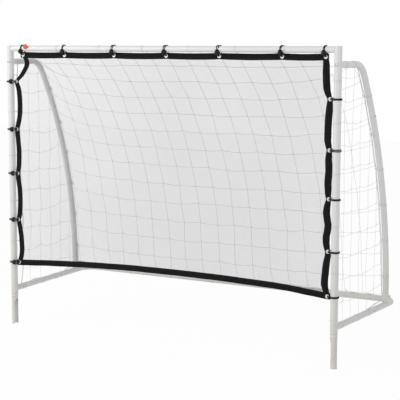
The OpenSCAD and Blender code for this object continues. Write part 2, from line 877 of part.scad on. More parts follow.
// Away from the side tubes the net hangs freely, on a flatter line than theirs
function net_run(j) = j == 0 ? 0 : net_run(j - 1) + norm(net_rows[j] - net_rows[j - 1]);
hang_middle = [foot_run - 7, 0.62 * crossbar_height];
hang_foot = [foot_run - 3, curve_start];
function hang_line(t) =
    pow(1 - t, 2) * net_rows[0] + 2 * t * (1 - t) * hang_middle + t * t * hang_foot;
last_row = len(net_rows) - 1;
hung_rows = [for (j = [0 : last_row])
    j == last_row ? net_rows[j] : hang_line(net_run(j) / net_run(last_row - 1))];
// Share of the free line in column i: none at a side tube, all in the middle
function slack(i) = 1 - pow(abs(2 * i / net_columns - 1), 6);
function net_point(i, j) = net_rows[j] + slack(i) * (hung_rows[j] - net_rows[j]);

// Corners of the small block where column i crosses row j
function knot(i, j) =
    let (
        at = net_point(i, j),
        x = net_half(at[0]) * (2 * i / net_columns - 1),
        w = unit(net_point(i, min(j + 1, last_row)) - net_point(i, max(j - 1, 0))),
        n = [-w[1], w[0]]
    )
    [for (c = [[-1, -1, -1], [1, -1, -1], [1, 1, -1], [-1, 1, -1],
               [-1, -1, 1], [1, -1, 1], [1, 1, 1], [-1, 1, 1]])
        net_twine * [c[0], c[1] * w[0] + c[2] * n[0], c[1] * w[1] + c[2] * n[1]]
            + [x, at[0], at[1]]];

function quad(a, b, c, d) = [[a, b, c], [a, c, d]];
function block(i, j) = 8 * (j * (net_columns + 1) + i);

// Back net: one unbroken lattice of square twine
module back_net() {
    nx = net_columns;
    ny = last_row;
    points = [for (j = [0 : ny]) for (i = [0 : nx]) each knot(i, j)];
    knots = [for (j = [0 : ny]) for (i = [0 : nx]) let (b = block(i, j)) each concat(
        quad(b + 0, b + 1, b + 2, b + 3),
        quad(b + 7, b + 6, b + 5, b + 4),
        i == 0 ? quad(b + 0, b + 3, b + 7, b + 4) : [],
        i == nx ? quad(b + 2, b + 1, b + 5, b + 6) : [],
        j == 0 ? quad(b + 1, b + 0, b + 4, b + 5) : [],
        j == ny ? quad(b + 3, b + 2, b + 6, b + 7) : []
    )];
    across_rows = [for (j = [0 : ny]) for (i = [0 : nx - 1])
        let (a = block(i, j), b = block(i + 1, j)) each concat(
            quad(a + 1, b + 0, b + 3, a + 2), quad(a + 6, b + 7, b + 4, a + 5),
            quad(a + 2, b + 3, b + 7, a + 6), quad(a + 5, b + 4, b + 0, a + 1))];
    down_columns = [for (j = [0 : ny - 1]) for (i = [0 : nx])
        let (a = block(i, j), b = block(i, j + 1)) each concat(
            quad(a + 3, a + 2, b + 1, b + 0), quad(b + 4, b + 5, a + 6, a + 7),
            quad(a + 7, a + 3, b + 0, b + 4), quad(a + 2, a + 6, b + 5, b + 1))];
    color("white") at_base()
        polyhedron(points = points, faces = concat(knots, across_rows, down_columns));
}

// Side view of a side net's edge, brought in by d
function side_net_outline(s, d) =
    let (
        front = net_front(s) + d,
        bend = arm_bend - d,
        arc = arc_r - d,
        low = net_floor + d
    )
    concat(
        [[front, d], [front, arm_height - d], [arm_run, arm_height - d]],
        [for (i = [1 : 6]) let (a = 90 + (bend_angle - 90) * i / 6)
            [arm_run + bend * cos(a), arm_height - arm_bend + bend * sin(a)]],
        [for (i = [1 : 22]) let (a = bend_angle * (1 - i / 22))
            [arc_y + arc * cos(a), curve_start + arc * sin(a)]],
        [[bar_y - 6 - 2 * d, low], [foot_run + 40, low], [foot_run - 20, d]]
    );

// Side net: twine squares inside an edge rope
module side_net(s) {
    far = bar_y;
    front = net_front(s);
    pitch = (foot_run - front) / side_columns;
    color("white") on_side(s) translate([-net_inset, 0, 0]) side_view() {
        translate([0, 0, -rope / 2]) linear_extrude(rope) difference() {
            polygon(side_net_outline(s, -rope / 2));
            polygon(side_net_outline(s, rope / 2));
        }
        translate([0, 0, -net_twine]) linear_extrude(twine) intersection() {
            polygon(side_net_outline(s, 0));
            union() {
                for (i = [1 : side_columns]) translate([front + i * pitch - net_twine, -10])
                    square([twine, arm_height]);
                for (z = [side_pitch : side_pitch : arm_height - side_pitch / 3])
                    translate([0, z - net_twine]) square([far, twine]);
            }
        }
    }
}

// Tie cord round a tube at the origin and round a cord of half width h at (away, 0)
module net_tie(tube_r, away, h) {
    hole = tube_r + 0.1;
    linear_extrude(tie_w, center = true) difference() {
        union() {
            circle(r = hole + tie_t);
            translate([away, 0]) circle(r = tie_hole(h) + tie_t);
            translate([tube_r, -tie_t]) square([away - tube_r, 2 * tie_t]);
        }
        circle(r = hole);
        translate([away, 0]) circle(r = tie_hole(h));
    }
}

post_tie_shares = [0.2, 0.37, 0.56, 0.74, 0.89];
curve_tie_shares = [0.08, 0.24, 0.4, 0.56, 0.72, 0.9];
rail_tie_shares = [0.12, 0.42, 0.64];
bar_tie_columns = [2, 4, 6, 8, 10, 12];

module net_ties() {
    color("white") {
        for (s = [-1, 1]) on_side(s) {
            for (f = post_tie_shares) translate([0, 0, f * crossbar_height])
                rotate([0, 0, 180 - atan2(net_front(s), net_inset)])
                net_tie(post_r, norm([net_front(s), net_inset]), rope / 2);
            for (y = [0.35, 0.8]) translate([0, y * arm_run, arm_height])
                rotate([90, 180, 0]) net_tie(bar_r, net_inset, rope / 2);
            for (f = curve_tie_shares) let (a = f * bend_angle)
                translate([0, on_arc(a)[0], on_arc(a)[1]]) rotate([a, 0, 0])
                rotate([0, 0, 180]) net_tie(bar_r, net_inset, rope / 2);
            for (f = rail_tie_shares) translate([0, f * foot_run, 0])
                rotate([90, 180, 0]) net_tie(bar_r, net_inset, rope / 2);
        }
        for (i = bar_tie_columns) at_base() {
            front = net_rows[0];
            away = norm(front - [0, crossbar_height]);
            translate([net_half(front[0]) * (2 * i / net_columns - 1) + 20, 0, crossbar_height])
                rotate([atan2(front[1] - crossbar_height, front[0]), 0, 0])
                rotate([90, 0, 90]) net_tie(bar_r, away, net_twine);
            translate([net_half(bar_y) * (2 * i / net_columns - 1) + 20, bar_y, 0])
                rotate([90, 0, 90]) rotate([0, 0, 90])
                net_tie(bar_r, net_floor, net_twine);
        }
    }
}

post(-1);  // left_post
post(1);  // right_post
crossbar_left();
crossbar_right();
arm(-1);  // left_arm
arm(1);  // right_arm
side_tube(-1);  // left_side_tube
side_tube(1);  // right_side_tube
rail_front(-1);  // left_rail_front
rail_front(1);  // right_rail_front
rail_corner(-1);  // left_rail_corner
rail_corner(1);  // right_rail_corner
rear_bar_left();
rear_bar_right();
spike(-1);  // left_spike
spike(1);  // right_spike
post_caps();
arm_saddles();
arm_inserts();
arm_bolts();
arm_washers();
frame_screws();
at_crossbar_button() snap_button();  // crossbar_button
at_crossbar_end_button(-1) snap_button();  // crossbar_button_left
at_crossbar_end_button(1) snap_button();  // crossbar_button_right
at_rear_bar_button() snap_button();  // rear_bar_button
at_side_button(-1) snap_button();  // side_button_left
at_side_button(1) snap_button();  // side_button_right
at_rail_button(-1) snap_button();  // rail_button_left
at_rail_button(1) snap_button();  // rail_button_right
at_crossbar_button() snap_spring();  // crossbar_spring
at_crossbar_end_button(-1) snap_spring();  // crossbar_spring_left
at_crossbar_end_button(1) mirror([1, 0, 0]) snap_spring();  // crossbar_spring_right
at_rear_bar_button() snap_spring();  // rear_bar_spring
at_side_button(-1) snap_spring();  // side_spring_left
at_side_button(1) snap_spring();  // side_spring_right
at_rail_button(-1) snap_spring();  // rail_spring_left
at_rail_button(1) snap_spring();  // rail_spring_right
rebound_mesh();
webbing_top();
webbing_bottom();
webbing_left();
webbing_right();
grommets();
bungee_cords();
bungee_balls();
red_tab();
back_net();
side_net(-1);  // side_net_left
side_net(1);  // side_net_right
net_ties();
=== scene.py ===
# Goal-shaped ball rebounder: a white steel goal frame on two ground spikes, with an elastic
# mesh panel hung in its mouth on ball ties and a knotted net over its roof, back and sides.
import math
import random

import bmesh
import bpy
import numpy as np
from mathutils import Matrix, Quaternion, Vector


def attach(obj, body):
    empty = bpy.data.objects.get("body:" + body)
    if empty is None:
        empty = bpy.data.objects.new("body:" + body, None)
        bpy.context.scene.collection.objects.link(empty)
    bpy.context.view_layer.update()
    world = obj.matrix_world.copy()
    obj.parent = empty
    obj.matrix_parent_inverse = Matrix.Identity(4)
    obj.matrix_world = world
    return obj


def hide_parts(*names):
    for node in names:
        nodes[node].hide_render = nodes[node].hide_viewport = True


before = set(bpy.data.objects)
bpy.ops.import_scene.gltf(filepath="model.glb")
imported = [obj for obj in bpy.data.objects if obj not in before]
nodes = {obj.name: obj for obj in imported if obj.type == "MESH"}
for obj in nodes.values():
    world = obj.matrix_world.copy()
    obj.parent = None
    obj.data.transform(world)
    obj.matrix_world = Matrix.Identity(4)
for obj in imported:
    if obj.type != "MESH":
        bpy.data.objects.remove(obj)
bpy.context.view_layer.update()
bpy.ops.object.select_all(action="DESELECT")


# ---- Camera, floor and light ----
# A white sweep: a pale floor that keeps a soft shadow, and a surround that looks white but
# lights less. One large soft box stands at the left front, and a weaker one at the right.


def link(name, data):
    """A new object in the scene that holds the data."""
    made = bpy.data.objects.new(name, data)
    bpy.context.scene.collection.objects.link(made)
    return made


lens = bpy.data.cameras.new("lens")
lens.sensor_width = 36
lens.lens = 107.88
lens.clip_end = 60
camera = link("camera", lens)
camera.location = (2.9421, -5.2077, 1.4413)
camera.rotation_mode = "QUATERNION"
sight = Vector((-0.4857, 0.86465, -0.12837)).to_track_quat("-Z", "Y")
camera.rotation_quaternion = sight @ Quaternion((0, 0, 1), math.radians(0.098))
bpy.context.scene.camera = camera
bpy.context.scene.view_settings.view_transform = "Standard"


def put(tree, kind, **settings):
    """A shader node of that kind. Each setting is a property or the value of a socket."""
    node = tree.nodes.new("ShaderNode" + kind)
    for key, value in settings.items():
        if key.startswith("in_"):
            name = key[3:].replace("_", " ")
            socket = node.inputs[int(name) if name.isdigit() else name]
            if isinstance(value, bpy.types.NodeSocket):
                tree.links.new(value, socket)
            else:
                socket.default_value = value
        else:
            setattr(node, key, value)
    return node


def calc(tree, operation, *values, kind="Math"):
    """What a Math node, or a node of that kind, makes of the values."""
    given = {"in_%d" % i: value for i, value in enumerate(values)}
    return put(tree, kind, operation=operation, **given).outputs[0]


def seen_directly(tree):
    """1 for rays from the lens, off a reflection or through glass, 0 for light itself."""
    path = put(tree, "LightPath").outputs
    seen = calc(tree, "MAXIMUM", path["Is Camera Ray"], path["Is Glossy Ray"])
    return calc(tree, "MAXIMUM", seen, path["Is Transmission Ray"])


def show(tree, share, hidden, seen, output):
    """Ends the tree in a mix of two shaders, the second one by share."""
    mix = put(tree, "MixShader", in_0=share, in_1=hidden.outputs[0], in_2=seen.outputs[0])
    tree.links.new(mix.outputs[0], put(tree, output).inputs["Surface"])


world = bpy.data.worlds.new("studio")
bpy.context.scene.world = world
world.use_nodes = True
tree = world.node_tree
tree.nodes.clear()
white, surround_light, floor_glow = (1, 1, 1, 1), 0.61, 0.96
show(tree, seen_directly(tree),
     put(tree, "Background", in_Color=white, in_Strength=surround_light),
     put(tree, "Background", in_Color=white, in_Strength=1.0), "OutputWorld")

bpy.ops.mesh.primitive_plane_add(size=24, location=(0, 0, -0.0005))
floor = bpy.context.object
floor.name = "floor"
paper = bpy.data.materials.new("paper_floor")
paper.use_nodes = True
tree = paper.node_tree
tree.nodes.clear()
show(tree, calc(tree, "MULTIPLY", seen_directly(tree), floor_glow),
     put(tree, "BsdfDiffuse", in_Color=(0.9, 0.9, 0.9, 1)),
     put(tree, "Emission", in_Color=white, in_Strength=1.0), "OutputMaterial")
floor.data.materials.append(paper)


def soft_box(name, place, size, power):
    """A square soft box that points at the middle of the goal."""
    light = bpy.data.lights.new(name, "AREA")
    light.shape = "SQUARE"
    light.size, light.energy = size, power
    box = link(name, light)
    box.location = place
    box.rotation_mode = "QUATERNION"
    box.rotation_quaternion = (Vector((0, 0, 0.9)) - Vector(place)).to_track_quat("-Z", "Y")


soft_box("key_light", (-3.6, -4.4, 2.9), 2.6, 126)
soft_box("fill_light", (3.8, -3.4, 2.2), 2.4, 24)


# ---- Steel frame tubes ----
# Posts, crossbar, arms, side tubes, base rails, rear bar and spikes: 1.5 mm steel tube, cut,
# bent and swaged, then sprayed with white powder and baked. The fine peel of the powder shows.


def start_group(name, given, made):
    """A new shader node group, its inputs and its outputs. given and made name their kinds."""
    group = bpy.data.node_groups.new(name, "ShaderNodeTree")
    for key, kind in given.items():
        group.interface.new_socket(key, in_out="INPUT", socket_type="NodeSocket" + kind)
    for key, kind in made.items():
        group.interface.new_socket(key, in_out="OUTPUT", socket_type="NodeSocket" + kind)
    return (group, group.nodes.new("NodeGroupInput").outputs,
            group.nodes.new("NodeGroupOutput").inputs)


def use(tree, group, **inputs):
    """The outputs of a placed node group whose inputs are set."""
    node = tree.nodes.new("ShaderNodeGroup")
    node.node_tree = group
    for key, value in inputs.items():
        if isinstance(value, bpy.types.NodeSocket):
            tree.links.new(value, node.inputs[key])
        else:
            node.inputs[key].default_value = value
    return node.outputs


def ranged(tree, value, low, high, bottom, top):
    """The value moved from the range low to high into bottom to top, and held inside it."""
    return put(tree, "MapRange", in_0=value, in_1=low, in_2=high, in_3=bottom, in_4=top).outputs[0]


def cloudy(tree, place, scale, detail):
    """Soft noise at a place, mostly from 0.3 to 0.7."""
    return put(tree, "TexNoise", in_Vector=place, in_Scale=scale, in_Detail=detail).outputs["Fac"]


def scaled(tree, colour, share):
    """The colour or vector times a share."""
    return put(tree, "VectorMath", operation="SCALE", in_0=colour, in_Scale=share).outputs[0]


def coordinate(tree, name):
    return put(tree, "TexCoord").outputs[name]


def finish_of(name, colour, roughness, metallic=0.0):
    """A new material: (material, its tree, its shader's inputs)."""
    material = bpy.data.materials.new(name)
    material.use_nodes = True
    inputs = material.node_tree.nodes["Principled BSDF"].inputs
    inputs["Base Color"].default_value = (*colour, 1)
    inputs["Roughness"].default_value = roughness
    inputs["Metallic"].default_value = metallic
    material.diffuse_color = (*colour, 1)
    return material, material.node_tree, inputs


def emboss(tree, inputs, height, strength, distance):
    """Raises the surface by height."""
    bump = put(tree, "Bump", in_Height=height, in_Strength=strength, in_Distance=distance)
    tree.links.new(bump.outputs[0], inputs["Normal"])


# Sprayed or moulded skin: a fine grain in the surface and broad, faint clouds in its tone
skin, given, made = start_group(
    "skin",
    {"Place": "Vector", "Colour": "Color", "Grain": "Float", "Depth": "Float", "Clouds": "Float",
     "Roughness": "Float"},
    {"Colour": "Color", "Roughness": "Float", "Height": "Float"})
grain = cloudy(skin, given["Place"], given["Grain"], 2.0)
clouds = cloudy(skin, given["Place"], 9.0, 3.0)
tone = calc(skin, "MULTIPLY", ranged(skin, clouds, 0.3, 0.7, -1.0, 1.0), given["Clouds"])
skin.links.new(scaled(skin, given["Colour"], calc(skin, "ADD", tone, 1.0)), made["Colour"])
rough = calc(skin, "MULTIPLY", ranged(skin, clouds, 0.3, 0.7, 0.9, 1.12), given["Roughness"])
skin.links.new(rough, made["Roughness"])
skin.links.new(calc(skin, "MULTIPLY", grain, given["Depth"]), made["Height"])


def skinned(name, colour, roughness, grain, depth, clouds, metallic=0.0):
    """A sprayed, moulded or plated material that shows the skin's grain."""
    material, tree, inputs = finish_of(name, colour, roughness, metallic)
    made = use(tree, skin, Place=coordinate(tree, "Object"), Colour=(*colour, 1), Grain=grain,
               Depth=1.0, Clouds=clouds, Roughness=roughness)
    tree.links.new(made["Colour"], inputs["Base Color"])
    tree.links.new(made["Roughness"], inputs["Roughness"])
    emboss(tree, inputs, made["Height"], depth, 0.0004)
    return material


def shader_of(material):
    return material.node_tree.nodes["Principled BSDF"].inputs


def overlay(material, cover, colour):
    """Lays a second colour over the material's own, as far as cover says."""
    tree, base = material.node_tree, shader_of(material)["Base Color"]
    mix = put(tree, "Mix", data_type="RGBA", in_0=cover, in_6=base.links[0].from_socket,
              in_7=(*colour, 1))
    tree.links.new(mix.outputs[2], base)


def low_down(tree, place, top, bottom):
    """From 0 at the height top to 1 at bottom."""
    height = put(tree, "SeparateXYZ", in_0=place).outputs["Z"]
    return ranged(tree, height, top, bottom, 0.0, 1.0)


def coat_nodes(material, *names):
    """Gives CAD nodes that material."""
    for name in names:
        nodes[name].data.materials.clear()
        nodes[name].data.materials.append(material)


# Painted shade: the powder is painted darker and warmer towards the ground, in soft clouds
powder_coat = skinned("white_powder_coat", (0.76, 0.76, 0.752), 0.36, 900, 0.25, 0.012)
shader_of(powder_coat)["Coat Weight"].default_value = 0.12
tree = powder_coat.node_tree
place = coordinate(tree, "Object")
low = low_down(tree, place, 0.85, 0.12)
painted_shade_clouds = ranged(tree, cloudy(tree, place, 5.0, 4.0), 0.3, 0.7, 0.4, 1.0)
overlay(powder_coat, calc(tree, "MULTIPLY", low, painted_shade_clouds), (0.66, 0.635, 0.6))
coat_nodes(powder_coat, "left_post", "right_post", "crossbar_left", "crossbar_right", "left_arm",
           "right_arm", "left_side_tube", "right_side_tube", "left_rail_front", "right_rail_front",
           "left_rail_corner", "right_rail_corner", "rear_bar_left", "rear_bar_right")

# The spikes are scuffed lengthwise by the ground. The bore has a paler copy of their coat,
# painted light that lifts the shade inside it.
spike_coat = skinned("spike_powder_coat", (0.69, 0.665, 0.63), 0.42, 900, 0.3, 0.02)
tree = spike_coat.node_tree
place = coordinate(tree, "Object")
low = low_down(tree, place, 0.13, 0.0)
streaks = put(tree, "Mapping", in_Vector=place, in_Scale=(260.0, 260.0, 35.0)).outputs[0]
scuffs = ranged(tree, cloudy(tree, streaks, 1.0, 4.0), 0.52, 0.62, 0.0, 0.75)
overlay(spike_coat, calc(tree, "MULTIPLY", scuffs, low), (0.42, 0.4, 0.37))
spike_bore_painted_light = skinned("spike_bore_painted_light", (0.9, 0.89, 0.87), 0.5, 900, 0.2, 0.02)

# The frame's own sizes, in mm: x from the middle, y back from the posts, z up from the rails
half_span, splay = 896.0, math.radians(2.5)
mid_y, spike_reach = 340.7375, 186.0


def row(x, y, z):
    """A place in the frame's own millimetres, in the scene's metres."""
    return Vector((x, y - mid_y, z + spike_reach)) / 1000


def on_side(s, x, y, z):
    """A place on the side frame (x outwards, y back, z up) on side s."""
    return row(s * (half_span + x * math.cos(splay) + y * math.sin(splay)),
               -x * math.sin(splay) + y * math.cos(splay), z)


def new_piece(name, points, faces, spots=None):
    """A new object of those points and faces, with a UV spot for each corner of a face."""
    mesh = bpy.data.meshes.new(name)
    mesh.from_pydata(points, [], faces)
    if spots is not None:
        layer = mesh.uv_layers.new(name="along")
        layer.data.foreach_set("uv", np.array(spots, float).ravel())
    return link(name, mesh)


def face_outwards(shape, merge=0.0):
    """Turns a shape's faces outwards, once its points nearer than merge are joined."""
    bpy.ops.object.select_all(action="DESELECT")
    shape.select_set(True)
    bpy.context.view_layer.objects.active = shape
    bpy.ops.object.mode_set(mode="EDIT")
    bpy.ops.mesh.select_all(action="SELECT")
    if merge:
        bpy.ops.mesh.remove_doubles(threshold=merge)
    bpy.ops.mesh.normals_make_consistent(inside=False)
    bpy.ops.object.mode_set(mode="OBJECT")


def work(shape, kind, **settings):
    """Applies a modifier of that kind to the active shape."""
    step = shape.modifiers.new(kind.lower(), kind)
    for key, value in settings.items():
        setattr(step, key, value)
    bpy.ops.object.modifier_apply(modifier=step.name)


# The gouge stays open from its slanted start down to the tip
cut_low, cut_high, cut_r, bore_r = -200, -96, 52, 0.0155
gouge = [(0.0, 0.0)] + [(cut_r * math.cos(math.radians(a)), cut_r * math.sin(math.radians(a)))
                        for a in (150.2, 173.6, 197.0, 220.4, 243.8)]
n = len(gouge)
for s, node in ((-1, "left_spike"), (1, "right_spike")):
    spike = link(node + "_gouge", nodes[node].data.copy())
    corners = [on_side(s, x, y, z) for z in (cut_low, cut_high) for x, y in gouge]
    cutter = new_piece("cutter", corners, [tuple(range(n)), tuple(range(2 * n - 1, n - 1, -1))]
                       + [(k, (k + 1) % n, n + (k + 1) % n, n + k) for k in range(n)])
    for shape in (cutter, spike):
        face_outwards(shape, 0.00001)
    work(spike, "BOOLEAN", operation="DIFFERENCE", solver="EXACT", object=cutter)
    bpy.ops.object.shade_smooth_by_angle(angle=math.radians(30))
    bpy.data.objects.remove(cutter)
    spike.data.materials.clear()
    spike.data.materials.append(spike_coat)
    spike.data.materials.append(spike_bore_painted_light)
    # Faces inside the bore take the paler coat: painted light over the bore's shade
    for face in spike.data.polygons:
        out = (face.center - on_side(s, 0, 0, 0)).xy
        face.material_index = int(out.length < bore_r and out.dot(face.normal.xy) < 0)
    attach(spike, "frame")
    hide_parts(node)


# ---- Caps and saddles ----
# A plug closes each post's top and a curved saddle seats each arm on its post. Both are
# injection moulded in white plastic, a little warmer and duller than the powder coat.

white_plastic = skinned("white_plastic", (0.76, 0.76, 0.74), 0.5, 1600, 0.12, 0.008)
coat_nodes(white_plastic, "post_caps", "arm_saddles")


# ---- Bolts, screws and snap buttons ----
# M8 bolts hold the arms, tapping screws the fixed joints, and sprung buttons lock the sleeve
# joints. All are zinc plate over steel, and their springs are blued strip. The buttons' zinc is
# painted darker and duller, as painted shade from the gaps round them.

zinc_steel = skinned("zinc_steel", (0.56, 0.57, 0.585), 0.3, 420, 0.2, 0.07, metallic=1.0)
coat_nodes(zinc_steel, "arm_inserts", "arm_bolts", "arm_washers", "frame_screws")
# The buttons' zinc is painted darker: painted shade from the gaps round them
button_steel_painted_shade = skinned("button_steel_painted_shade", (0.38, 0.375, 0.365), 0.42, 420, 0.2, 0.1, metallic=1.0)
coat_nodes(button_steel_painted_shade, "crossbar_button", "crossbar_button_left", "crossbar_button_right",
           "rear_bar_button", "side_button_left", "side_button_right", "rail_button_left",
           "rail_button_right")
spring_steel = skinned("spring_steel", (0.3, 0.31, 0.35), 0.34, 300, 0.15, 0.12, metallic=1.0)
coat_nodes(spring_steel, "crossbar_spring", "crossbar_spring_left", "crossbar_spring_right",
           "rear_bar_spring", "side_spring_left", "side_spring_right", "rail_spring_left",
           "rail_spring_right")


# ---- Rebound mesh ----
# One sheet of fine knitted polyester mesh, near black and see-through, with a curved lower
# edge. It is cut a little small and the ties pull it taut. Its edge is sewn into the webbing.

side_x, top_z, lower_tie, tie_rise = 861.5, 1204.0, 140.0, 1096.0
top_ties = [-0.91, -0.625, -0.3, 0.027, 0.344, 0.7, 0.935]
left_ties = [0, 0.203, 0.421, 0.627, 0.848]
right_ties = [0, 0.185, 0.4, 0.598, 0.803]
left_bows, right_bows = [12, 14, 9, 17, 37], [11, 9, 8, 8, 9]
lower_arch, top_droop = 37, 2.5
left_tie_z = [lower_tie + f * tie_rise for f in left_ties] + [top_z]
right_tie_z = [lower_tie + f * tie_rise for f in right_ties] + [top_z]

# How the loose webbing really runs between the ties: (place along it, mm off its even bow)
left_run = [
    (140, 0), (150, 4), (178, 9), (209, 8.5), (239, 5), (270, 3), (301, 0.6), (362, 0),
    (393, 2.4), (424, 1.8), (455, -1.2), (486, -3.5), (548, -3), (579, -2.5), (601, 0),
    (640, 3), (671, 1.8), (733, 0.6), (764, -1.2), (795, -1), (827, 0), (856, 1.8), (887, 4.7),
    (917, 5.9), (948, 4.7), (1009, 4.7), (1039, 5.5), (1069, 0), (1098, 6), (1127, 1.5),
    (1156, 3.5), (1184, 4), (1204, 0)]
right_run = [
    (140, 0), (190, -6), (218, -3), (245, 0.5), (300, 2), (327, 3.5), (343, 0), (354, -3),
    (381, -4.5), (408, -2), (435, 5.5), (462, 9), (489, 3.5), (515, -2.5), (542, -3.5),
    (578, 0), (596, -1), (623, 1.5), (649, 3), (676, 6), (703, 8), (729, 5), (756, 1),
    (795, 0), (809, -2), (836, -4.5), (862, -2), (888, -0.5), (915, 1), (967, 2.5), (1020, 0),
    (1040, -4), (1061, -5), (1093, -1.5), (1118, 1.5), (1167, 4.6), (1204, 0)]
lower_run = [(-861, -2), (-610, -3.7), (-280, -3.7), (60, -3.7), (380, 0), (660, 5), (861, 1)]


def off_bow(run, at):
    return float(np.interp(at, *zip(*run)))


def span(value, marks):
    """Which of the spans between the marks holds the value, and how far along it."""
    i = max([0] + [k for k in range(len(marks) - 1) if value >= marks[k]])
    return i, min(1.0, max(0.0, (value - marks[i]) / (marks[i + 1] - marks[i])))


def left_x(z):
    """The left webbing's middle line. Its top bow is fullest near the corner."""
    i, t = span(z, left_tie_z)
    ends = [side_x] * 5 + [-top_ties[0] * half_span]
    bow = left_bows[i] * math.sin(math.pi * (t ** 1.25 if i == 4 else t))
    return -(ends[i] + (ends[i + 1] - ends[i]) * t - bow) + off_bow(left_run, z)


def right_x(z):
    i, t = span(z, right_tie_z)
    ends = [side_x] * 5 + [top_ties[6] * half_span]
    bow = right_bows[i] * math.sin(math.pi * t)
    return ends[i] + (ends[i + 1] - ends[i]) * t - bow + off_bow(right_run, z)


def lower_z(x):
    share = max(-side_x, min(side_x, x)) / side_x
    return lower_tie + lower_arch * (1 - share ** 2) + off_bow(lower_run, x)


def upper_z(x):
    _, t = span(min(top_ties[6], max(top_ties[0], x / half_span)), top_ties)
    return top_z - top_droop * math.sin(math.pi * t)


grommet_points = [(f * half_span, top_z) for f in top_ties]
grommet_points += [(-side_x, z) for z in left_tie_z[:5]]
grommet_points += [(side_x, z) for z in right_tie_z[:5]]

# The sheet reaches into its webbing, bellies back a little and puckers round each eyelet
panel_wide, panel_high = 1.7, 1.02     # metres of knit across the panel's UV map
edge_in = 8.5                          # the sheet's edge from the webbing's middle line
first_x = 850                          # about half the sheet's width, to start from
bpy.ops.mesh.primitive_grid_add(x_subdivisions=180, y_subdivisions=112, size=1)
panel = bpy.context.object
panel.name = "mesh_panel"
for corner in panel.data.uv_layers[0].data:
    corner.uv = (corner.uv[0] * panel_wide, corner.uv[1] * panel_high)
for v in panel.data.vertices:
    u, w = v.co.x + 0.5, v.co.y + 0.5
    x, z = (u * 2 - 1) * first_x, lower_tie + w * (top_z - lower_tie)
    for _ in range(4):
        x = (left_x(z) + edge_in) * (1 - u) + (right_x(z) - edge_in) * u
        z = (lower_z(x) + edge_in) * (1 - w) + (upper_z(x) - edge_in) * w
    inside = min(x - left_x(z), right_x(z) - x, z - lower_z(x), upper_z(x) - z) - edge_in
    held = min(1.0, max(0.0, (inside - 8) / 60))
    pucker = sum(math.sin(5 * math.atan2(z - gz, x - gx) + gx)
                 * math.exp(-math.hypot(x - gx, z - gz) / 70) for gx, gz in grommet_points)
    belly = 3.2 * math.sin(math.pi * u) * math.sin(math.pi * w)
    ripple = 0.7 * math.sin(x / 83 + 1.3 * math.sin(z / 150)) * math.exp(-inside / 130)
    v.co = row(x, held * (belly + ripple + 2.2 * pucker), z)
bpy.ops.object.shade_smooth()

# Knit: round holes in staggered rows. Cover is 0 in a hole and 0.5 on the yarn.
knit, given, made = start_group(
    "knit", {"Place": "Vector", "Pitch": "Float", "Hole": "Float"},
    {"Cover": "Float", "Height": "Float"})
stagger, unstagger = 1.73205, 0.57735      # the root of 3, and one over it
loops = scaled(knit, given["Place"], calc(knit, "DIVIDE", 1.0, given["Pitch"]))
loops = calc(knit, "MULTIPLY", loops, (1.0, unstagger, 0.0), kind="VectorMath")
nearest = []
for shift in (0.0, 0.5):
    cell = calc(knit, "ADD", loops, (shift, shift, 0.0), kind="VectorMath")
    cell = calc(knit, "FRACTION", cell, kind="VectorMath")
    cell = calc(knit, "SUBTRACT", cell, (0.5, 0.5, 0.0), kind="VectorMath")
    cell = calc(knit, "MULTIPLY", cell, (1.0, stagger, 0.0), kind="VectorMath")
    nearest.append(put(knit, "VectorMath", operation="LENGTH", in_0=cell).outputs["Value"])
beyond = calc(knit, "SUBTRACT", calc(knit, "MINIMUM", *nearest), given["Hole"])
knit.links.new(ranged(knit, beyond, -0.12, 0.06, 0.0, 0.5), made["Cover"])
knit.links.new(beyond, made["Height"])

# The holes are wider at the left and top, which makes the panel lighter there: painted light.
# They also drift a little at random.
panel_mesh, tree, inputs = finish_of("panel_mesh", (0.03, 0.03, 0.033), 0.75)
inputs["Sheen Weight"].default_value = 0.08
inputs["Sheen Roughness"].default_value = 0.4
inputs["Specular IOR Level"].default_value = 0.25
spots = put(tree, "TexCoord").outputs
place, flat = spots["Object"], spots["UV"]
spread = put(tree, "SeparateXYZ", in_0=place).outputs
# Wider holes to the left and top: painted light
hole = calc(tree, "ADD", ranged(tree, spread["X"], -0.86, 0.1, 0.452, 0.392),
            ranged(tree, spread["Z"], 0.33, 1.38, -0.022, 0.02))
drift = ranged(tree, cloudy(tree, place, 2.2, 3.0), 0.3, 0.7, -0.012, 0.012)
yarn_loops = use(tree, knit, Place=flat, Pitch=0.0022, Hole=calc(tree, "ADD", hole, drift))
tree.links.new(yarn_loops["Cover"], inputs["Alpha"])
emboss(tree, inputs, yarn_loops["Height"], 0.4, 0.0004)
yarn = ranged(tree, cloudy(tree, flat, 700.0, 2.0), 0.3, 0.7, 0.022, 0.042)
tree.links.new(yarn, inputs["Base Color"])
panel.data.materials.append(panel_mesh)
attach(panel, "frame")
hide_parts("rebound_mesh")


# ---- Webbing ----
# Black polyester webbing, folded over the mesh's edge and sewn through with two rows of
# stitches. It bows in between the ties and is gathered a little at each eyelet.

half_tape, fold_r, station_gap = 15, 1.5, 5
hole_r, hole_depth = 0.0072, 0.014


